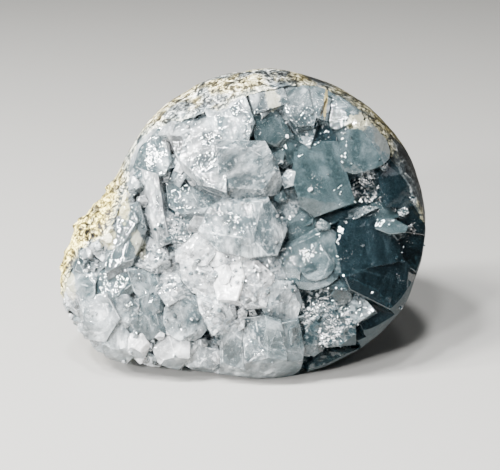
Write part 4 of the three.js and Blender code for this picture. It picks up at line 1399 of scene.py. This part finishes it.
# Marks on the crust: middle and half size on the face in mm, turn in degrees, strength, colour.
MARKS_AND_SHADE = (
    ((-23.5, 27.5), (4.4, 4.4), 0, 0.95, "#4B4D4E"), ((38, 35), (6, 3.6), 10, 0.6, "#DCD6B4"),
    ((-34.5, -5.5), (2.4, 7), 15, 0.4, "#DAD2AC"), ((26.6, 42), (0.8, 8), -6, 0.8, "#9A8A52"),
    # The near-black streak at (38, -20.5) is painted shade: the dark inside a slit between crystals.
    ((25.6, 39), (0.6, 4.5), -20, 0.9, "#2A2418"), ((38, -20.5), (14, 3), -30, 0.9, "#0E1518"),
    ((-43, 17), (6, 4), 40, 0.75, "#E6DBA2"), ((-40, 8), (3, 8), 10, 0.65, "#E4D99E"),
    ((-45, -2), (3.5, 6), 15, 0.55, "#DED49C"), ((9, 42), (3, 5), 10, 0.5, "#E6E0C0"),
    ((47, 28), (4.5, 9), 35, 0.85, "#5F6461"), ((-58, -19), (2.5, 7), 10, 0.45, "#D8CFA4"),
)
body = add(tree, "ValToRGB", {}, (clearness,), BODY_STOPS)
cloudy = add(tree, "ValToRGB", {}, (clearness,), CLOUD_STOPS)
colour = add(tree, "Mix", OF_COLOURS, (cloud, body, cloudy))
thin = add(tree, "Math", MULTIPLY_ADD, (cloud, CLOUD_HIDES, 1.0))
over_it = [(fleck_and_glint, "#FFFFFF")] + [(mark(tree, mm, *place), code) for *place, code in MARKS_AND_SHADE]
for mask, code in over_it:
    colour = add(tree, "Mix", OF_COLOURS, (mask, colour, srgb(code)))
    thin = add(tree, "Math", MULTIPLY_ADD, (mask, MARK_HIDES, thin))
print(len(MARKS_AND_SHADE), "marks on the crust")

# %% [markdown]
# How much light passes follows from the clearness and from thin. Where the machine ground a clear crystal,
# its skin is frosted: less light passes and the gloss is gone. The gloss elsewhere is glassy with dull
# breaths, so the roughness stays between 0.02 and 0.1.

# %% See-through share and roughness
GLOSS = (0.02, 0.1)
GROUND_ROUGH, FROST_ROUGH = 0.35, 0.5
BREATH_PER_MM, BREATHS = 0.22, (0.46, 0.72)
FROSTED = (0.5, 0.8, 0, 0.75)
PASSES = (0.5, 0.98)
frosted = add(tree, "Math", MULTIPLY, (ground, add(tree, "MapRange", {}, (clearness, *FROSTED))))
clear = add(tree, "MapRange", {}, (clearness, 0, 1, *PASSES))
see = add(tree, "Math", MULTIPLY, (clear, add(tree, "Math", SUBTRACT, (1.0, frosted))))
weight = add(tree, "Math", {**MULTIPLY, "use_clamp": True}, (see, thin))
breath = add(tree, "TexNoise", {}, {"Vector": own, "Scale": BREATH_PER_MM, "Detail": 5.0})
glossy = add(tree, "MapRange", {}, (breath, *BREATHS, *GLOSS))
dull = add(tree, "Math", MULTIPLY_ADD, (frosted, FROST_ROUGH, glossy))
roughness = add(tree, "Math", MULTIPLY_ADD, (ground, GROUND_ROUGH, dull))
print("roughness of a grown face:", GLOSS)

# %% [markdown]
# Neighbours differ in brightness, because each one holds its cracks in another way. A hue and value node
# at the end of the colour is simpler than a ramp for each crystal. Milky crystals are dappled, clear ones
# are steady, and some chips are dark. The ground skin of clear crystals is dimmed as painted shade.

# %% Brightness
SHADES = (0.7, 1.1)
DAPPLE_BAND, DAPPLES = (0.38, 0.62), (0.6, 1.2)
STEADY, STEADY_SHARE = 0.95, (0.4, 0.62, 0, 0.85)
DARK_CHIPS = (0.25, 0.1, 0, 0.3)
FROST_PAINTED_SHADE = (0, 0.75, 1, 0.5)
dark_chips = add(tree, "Math", MULTIPLY, (crumbly, add(tree, "MapRange", {}, (tone, *DARK_CHIPS))))
steady = add(tree, "MapRange", {}, (clearness, *STEADY_SHARE))
dapple = add(tree, "Mix", {}, (steady, add(tree, "MapRange", {}, (clusters, *DAPPLE_BAND, *DAPPLES)), STEADY))
bright = add(tree, "Math", MULTIPLY, (add(tree, "MapRange", {}, (shade, 0, 1, *SHADES)), dapple))
# Painted shade: the frosted ground skin of clear crystals is dimmed to half its brightness.
bright = add(tree, "Math", MULTIPLY, (bright, add(tree, "MapRange", {}, (frosted, *FROST_PAINTED_SHADE))))
bright = add(tree, "Math", SUBTRACT, (bright, dark_chips))
varied = add(tree, "HueSaturation", {}, {"Value": bright, "Color": colour})
print("shades from", SHADES[0], "to", SHADES[1])

# %% [markdown]
# The relief is too fine to model: striae along the crystal, etching, slow waves, and on some crystals
# curved steps like the rings of a shell. One bump node takes their sum. The tilts of the crumbly facets
# can't be a bump, because each is one flat plane, so they are added to the normal itself.

# %% Relief
RING_MM, RINGS_PER_CELL, RING_WAVER = 15, 7.0, 3.0
STRIA_STRETCH = (1.4, 0.09, 0.09)
ETCH_PER_MM, WAVE_PER_MM = 0.45, 0.13
STRIA_RISE, WAVE_RISE = 0.4, 1.5
BUMP_MM, BUMP_STRENGTH = 0.5, (0.2, 0.8, 1, 0.35)
RINGED = (0.35, 0.45, 0, 0.35)
HACKLY = (0.2, 0.7, 0.22, 0.06)
stretched = add(tree, "Mapping", {}, {"Vector": own, "Scale": STRIA_STRETCH})
stria = add(tree, "TexNoise", {}, {"Vector": stretched, "Scale": 1.0, "Detail": 1.0, "Roughness": 0.3})
etch = add(tree, "TexNoise", {}, {"Vector": mm, "Scale": ETCH_PER_MM, "Detail": 2.0, "Roughness": 0.35})
wave = add(tree, "TexNoise", {}, {"Vector": own, "Scale": WAVE_PER_MM, "Detail": 1.0})
centres = add(tree, "TexVoronoi", {}, {"Vector": own, "Scale": 1 / RING_MM, "Randomness": 1.0})
waver = add(tree, "Math", MULTIPLY, (wave, RING_WAVER))
rings = add(tree, "Math", FRACT, (add(tree, "Math", MULTIPLY_ADD, (centres, RINGS_PER_CELL, waver)),))
height = etch
for layer, rise in (
    (stria, STRIA_RISE),
    (wave, WAVE_RISE),
    (rings, add(tree, "MapRange", {}, (shade, *RINGED))),
):
    height = add(tree, "Math", MULTIPLY_ADD, (layer, rise, height))
bump = add(tree, "Bump", {}, {
    "Strength": add(tree, "MapRange", {}, (clearness, *BUMP_STRENGTH)), "Distance": BUMP_MM * MM,
    "Height": height,
})
hackly = add(tree, "MapRange", {}, (clearness, *HACKLY))
tilt = add(tree, "VectorMath", SUBTRACT, (cells.outputs["Color"], (0.5, 0.5, 0.5)))
push = add(tree, "VectorMath", SCALE, (tilt, add(tree, "Math", MULTIPLY_ADD, (crumbly, 1.0, hackly))))
normal = add(tree, "VectorMath", NORMALIZE, (add(tree, "VectorMath", ADD, (bump, push)),))
print("relief of", BUMP_MM, "mm")

# %% [markdown]
# One shader takes it all. A little subsurface light softens the milky parts. The blue isn't painted on:
# the volume absorbs the other colours along the way, so a thick crystal is bluer than a thin one.

# %% Celestite shader
CRYSTAL_IOR = 1.62
SOFT_SHARE, SOFT_MM, SOFT_REACH = 0.15, 1, (1.0, 1.1, 1.2)
BLUE_PER_METRE = 110
shader = add(tree, "BsdfPrincipled", {}, {
    "Base Color": varied, "Roughness": roughness, "Transmission Weight": weight, "Normal": normal,
    "IOR": CRYSTAL_IOR, "Subsurface Weight": SOFT_SHARE, "Subsurface Radius": SOFT_REACH,
    "Subsurface Scale": SOFT_MM * MM,
})
depth = add(tree, "VolumeAbsorption", {}, {"Color": srgb("#A6CBD4"), "Density": BLUE_PER_METRE})
add(tree, "OutputMaterial", {}, {"Surface": shader, "Volume": depth})
crust.data.materials.clear()
crust.data.materials.append(crystal_finish)
print("crust finish:", crystal_finish.name, "with", len(tree.nodes), "nodes")

# %% [markdown]
# ## Ground and broken stone
# The matrix is a pale limy rock with dark grains. Where it was ground it is a dull grey with crystals cut
# through in it. An image of stone would repeat and end somewhere, so two noises, one of grains and one of
# specks, are mixed, and ramps turn the sum into stone: pale on the left, dark on the right. That dark is
# partly the stone's own grey and partly painted shade of the side away from the light, halved behind.

# %% Grain of the ground dome
GRAIN_MM, SPECK_MM = 0.8, 2.6
SPECK_SHARE = 0.65
DRIFT_PER_MM, DRIFT = 0.06, 24
# Darker to the right: partly the stone's own grey, partly painted shade; at the back only half of it.
DARK_AND_SHADED_BAND = (8, 36)
FRONT_BAND, BACK_SHARE = (-45, -14), 0.5
PALE_STOPS = (
    (0.43, "#050606"), (0.475, "#1C2022"), (0.505, "#474D4F"), (0.545, "#767A76"), (0.6, "#F4F4EE"),
)
DARK_AND_SHADED_STOPS = (
    (0.42, "#010202"), (0.48, "#050606"), (0.53, "#0F1110"), (0.58, "#2B2E2A"), (0.65, "#8E8F88"),
)
stone_finish, tree = new_material("matrix_stone_ground")
mm = in_face_frame(tree)
lobe, wall, rim = (
    add(tree, "Attribute", {"attribute_name": name}).outputs["Fac"] for name in ("lobe", "wall", "rim")
)
grain = add(tree, "TexNoise", {}, {"Vector": mm, "Scale": 1 / GRAIN_MM, "Detail": 6.0, "Roughness": 0.72})
speck = add(tree, "TexNoise", {}, {
    "Vector": mm, "Scale": 1 / SPECK_MM, "Detail": 6.0, "Roughness": 0.72, "Distortion": 1.0,
})
both = add(tree, "Mix", {}, (SPECK_SHARE, grain, speck))
place = add(tree, "SeparateXYZ", {}, (mm,))
drift = add(tree, "TexNoise", {}, {"Vector": mm, "Scale": DRIFT_PER_MM, "Detail": 3.0})
wandering = add(tree, "Math", MULTIPLY_ADD, (drift, DRIFT, place.outputs["X"]))
darker = add(tree, "MapRange", {}, (wandering, *DARK_AND_SHADED_BAND))
in_front = add(tree, "MapRange", {}, (place.outputs["Z"], *FRONT_BAND, BACK_SHARE, 1))
dark_and_shaded_side = add(tree, "Math", MULTIPLY, (darker, in_front))
pale = add(tree, "ValToRGB", {}, (both,), PALE_STOPS)
dark = add(tree, "ValToRGB", {}, (both,), DARK_AND_SHADED_STOPS)
outer = add(tree, "Mix", OF_COLOURS, (dark_and_shaded_side, pale, dark))
print("grains of", GRAIN_MM, "mm, specks of", SPECK_MM, "mm")

# %% [markdown]
# Where the stone wasn't ground away it is cream: in patches of the dome, more of them to the left, and all
# over the lobe. The lobe's pits are stained brown and green by iron and algae, and a stain is dull, so its
# mask also takes the shine away later.

# %% Cream patches, the bare lobe and its stains
PATCH_MM = 13
MORE_TO_LEFT = (-30, 0, 0.12, 0)
PATCHY, PATCH_SHARES = (0.48, 0.6), (0.5, 0.2)
CREAM_STOPS = (
    (0.445, "#151004"), (0.48, "#463B16"), (0.505, "#84763A"), (0.53, "#D0BF74"), (0.56, "#FFF1BC"),
)
BARE_STOPS = (
    (0.44, "#0D0A03"), (0.475, "#352B0E"), (0.5, "#73662E"), (0.53, "#C9BA66"), (0.565, "#FFEF96"),
)
STAIN_STOPS = (
    (0.455, "#040403"), (0.495, "#1A1711"), (0.525, "#443F30"), (0.55, "#857C5C"), (0.6, "#EDE6BC"),
)
# Stains on the lobe: middle and half size on the face in mm, turn in degrees.
STAINS = (
    ((-50, 6.2), (2.2, 2), 0), ((-50.5, 2.6), (1.4, 1.4), 0), ((-52, 0.8), (1.3, 1.2), 10),
    ((-50.5, -1.4), (2.4, 2), 0), ((-51, -4.8), (1.6, 2.4), 0), ((-54, -8), (1.6, 2.2), 0),
    ((-43.2, 13), (2.4, 1.4), 30), ((-40.8, 12), (1.5, 2.2), 0), ((-56, -14), (1.8, 2.4), 20),
)
STAIN_STRENGTH = 0.95
patches = add(tree, "TexNoise", {}, {
    "Vector": mm, "Scale": 1 / PATCH_MM, "Detail": 6.0, "Distortion": 1.0,
})
to_left = add(tree, "MapRange", {}, (place.outputs["X"], *MORE_TO_LEFT))
patchy = add(tree, "MapRange", {}, (add(tree, "Math", ADD, (patches, to_left)), *PATCHY))
patchy = add(tree, "Math", MULTIPLY, (patchy, add(tree, "MapRange", {}, (darker, 0, 1, *PATCH_SHARES))))
stained = 0
for stain in STAINS:
    stained = add(tree, "Math", MAXIMUM, (mark(tree, mm, *stain, STAIN_STRENGTH), stained))
for mask, stops in ((patchy, CREAM_STOPS), (lobe, BARE_STOPS), (stained, STAIN_STOPS)):
    outer = add(tree, "Mix", OF_COLOURS, (mask, outer, add(tree, "ValToRGB", {}, (both,), stops)))
print(len(STAINS), "stains on the lobe")

# %% [markdown]
# Near the mouth the ground band cuts through crystals, so it turns frosty there, with a ragged border. The
# inner wall, which shows only through clear crystals, is a dark blue grey: partly the stone's grey and
# partly painted shade, so that clear crystals look dark. The stone is dull, so its roughness is high and
# its shine weak.

# %% Frosty rim, inner wall and stone shader
RIM_RAGGED, RIM_SHIFT = 1.6, 0.8
NEAR_RIM, RIM_SHARES = (0.55, 0.85, 0, 0.45), (1, 0.25)
FROST_STOPS = ((0.43, "#212A30"), (0.48, "#596970"), (0.53, "#8A979D"), (0.6, "#FFFFFF"))
# Painted shade: the inner wall's grey is kept dark so that the clear crystals in front of it look dark.
WALL_AND_SHADE_STOPS = ((0.35, "#2E3B41"), (0.6, "#6E7D82"))
STONE_ROUGH, STONE_SHINE, STAIN_SHINE = 0.55, 0.3, 0.05
STONE_BUMP_MM = 0.4
shifted = add(tree, "Math", SUBTRACT, (rim, RIM_SHIFT))
ragged = add(tree, "Math", MULTIPLY_ADD, (speck, RIM_RAGGED, shifted))
near_rim = add(tree, "MapRange", {}, (ragged, *NEAR_RIM))
near_rim = add(tree, "Math", MULTIPLY, (near_rim, add(tree, "MapRange", {}, (dark_and_shaded_side, 0, 1, *RIM_SHARES))))
frosty = add(tree, "ValToRGB", {}, (both,), FROST_STOPS)
inner = add(tree, "ValToRGB", {}, (grain,), WALL_AND_SHADE_STOPS)
outer = add(tree, "Mix", OF_COLOURS, (near_rim, outer, frosty))
colour = add(tree, "Mix", OF_COLOURS, (wall, outer, inner))
bump = add(tree, "Bump", {}, {"Strength": 0.8, "Distance": STONE_BUMP_MM * MM, "Height": both})
shine = add(tree, "MapRange", {}, (stained, 0, 1, STONE_SHINE, STAIN_SHINE))
shader = add(tree, "BsdfPrincipled", {}, {
    "Base Color": colour, "Roughness": STONE_ROUGH, "Specular IOR Level": shine, "Normal": bump,
})
add(tree, "OutputMaterial", {}, {"Surface": shader})
rind.data.materials.clear()
rind.data.materials.append(stone_finish)
print("rind finish:", stone_finish.name, "with", len(tree.nodes), "nodes")

# %% [markdown]
# ## Table
# The stone stands on a pale table. Its paint is matt, so the eye sees a soft shadow on it and no mirror
# image. An endless floor could be curved up behind, but a flat sheet wide enough to fill the view is
# simpler.

# %% Table
TABLE = 3  # half the width, in metres
bm = bmesh.new()
bmesh.ops.create_grid(bm, x_segments=1, y_segments=1, size=TABLE)
table = keep(bm, "table")
material, tree = new_material("table_matt_paint")
paint = add(tree, "BsdfPrincipled", {}, {"Base Color": srgb("#8F8E8B"), "Roughness": 0.6})
add(tree, "OutputMaterial", {}, {"Surface": paint})
table.data.materials.append(material)
print("table is", TABLE * 2, "m wide")

# %% [markdown]
# ## Lamps
# One large soft lamp high on the left gives the form. Glassy faces show a lamp as a flash, and only where
# they mirror it, so one lamp leaves most of them dead. A few small lamps at other angles give more faces
# something to mirror. A weak one on the right and a dim sky keep the dark side readable.

# %% Lamps
# Distances and sizes of lamps are in metres.
AIM = TO_WORLD @ Vector((0, 0, 10))
LAMP_DISTANCE = 0.9
GLINT_SIZE = 0.09
SKY = 0.13
# The glint lamps: azimuth, elevation, power in watts.
GLINTS = ((-70, 33, 14), (-45, 60, 15), (-30, 25, 16), (-12, 48, 7), (-8, 70, 10), (-50, 10, 7), (35, 72, 1))


def lamp(name, azimuth, elevation, power, size, colour):
    """An area lamp that looks at the object. Azimuth 0 is in front, positive to the right."""
    light = bpy.data.lights.new(name, "AREA")
    light.shape = "DISK"
    light.size = size
    light.energy = power
    light.color = srgb(colour)[:3]
    made = bpy.data.objects.new(name, light)
    bpy.context.collection.objects.link(made)
    a, e = math.radians(azimuth), math.radians(elevation)
    away = Vector((math.sin(a) * math.cos(e), -math.cos(a) * math.cos(e), math.sin(e)))
    made.location = AIM + away * LAMP_DISTANCE
    made.rotation_euler = away.to_track_quat("Z", "Y").to_euler()


lamp("key_lamp", -60, 50, 26, 0.2, "#FFFDF8")
for azimuth, elevation, power in GLINTS:
    lamp("glint_lamp", azimuth, elevation, power, GLINT_SIZE, "#FFFFFF")
lamp("right_window", 62, 42, 0.3, 0.3, "#F2F6FF")
world = bpy.data.worlds.new("studio")
world.use_nodes = True
sky = world.node_tree.nodes["Background"].inputs
sky["Color"].default_value = srgb("#DDE3E8")
sky["Strength"].default_value = SKY
bpy.context.scene.world = world

# %% [markdown]
# ## Camera
# A long lens from about half a metre away, as for a hand specimen: close up, a short lens would make the near
# crystals too large. It looks straight at the open face, which leans back as much as the camera looks down.

# %% Camera
CAMERA_ELEVATION = 20
CAMERA_DISTANCE, CAMERA_NEAREST = 0.45, 0.01  # metres
CAMERA_LENS = 94.8
CAMERA_AIM = (1.7, -2.4, 0)  # on the face
down = math.radians(CAMERA_ELEVATION)
away = Vector((0, -math.cos(down), math.sin(down)))
camera = bpy.data.objects.new("camera", bpy.data.cameras.new("camera"))
camera.data.lens = CAMERA_LENS
camera.data.clip_start = CAMERA_NEAREST
camera.location = TO_WORLD @ Vector(CAMERA_AIM) + away * CAMERA_DISTANCE
camera.rotation_euler = away.to_track_quat("Z", "Y").to_euler()
bpy.context.collection.objects.link(camera)
bpy.context.scene.camera = camera
print("camera stands at", [round(v, 3) for v in camera.location])
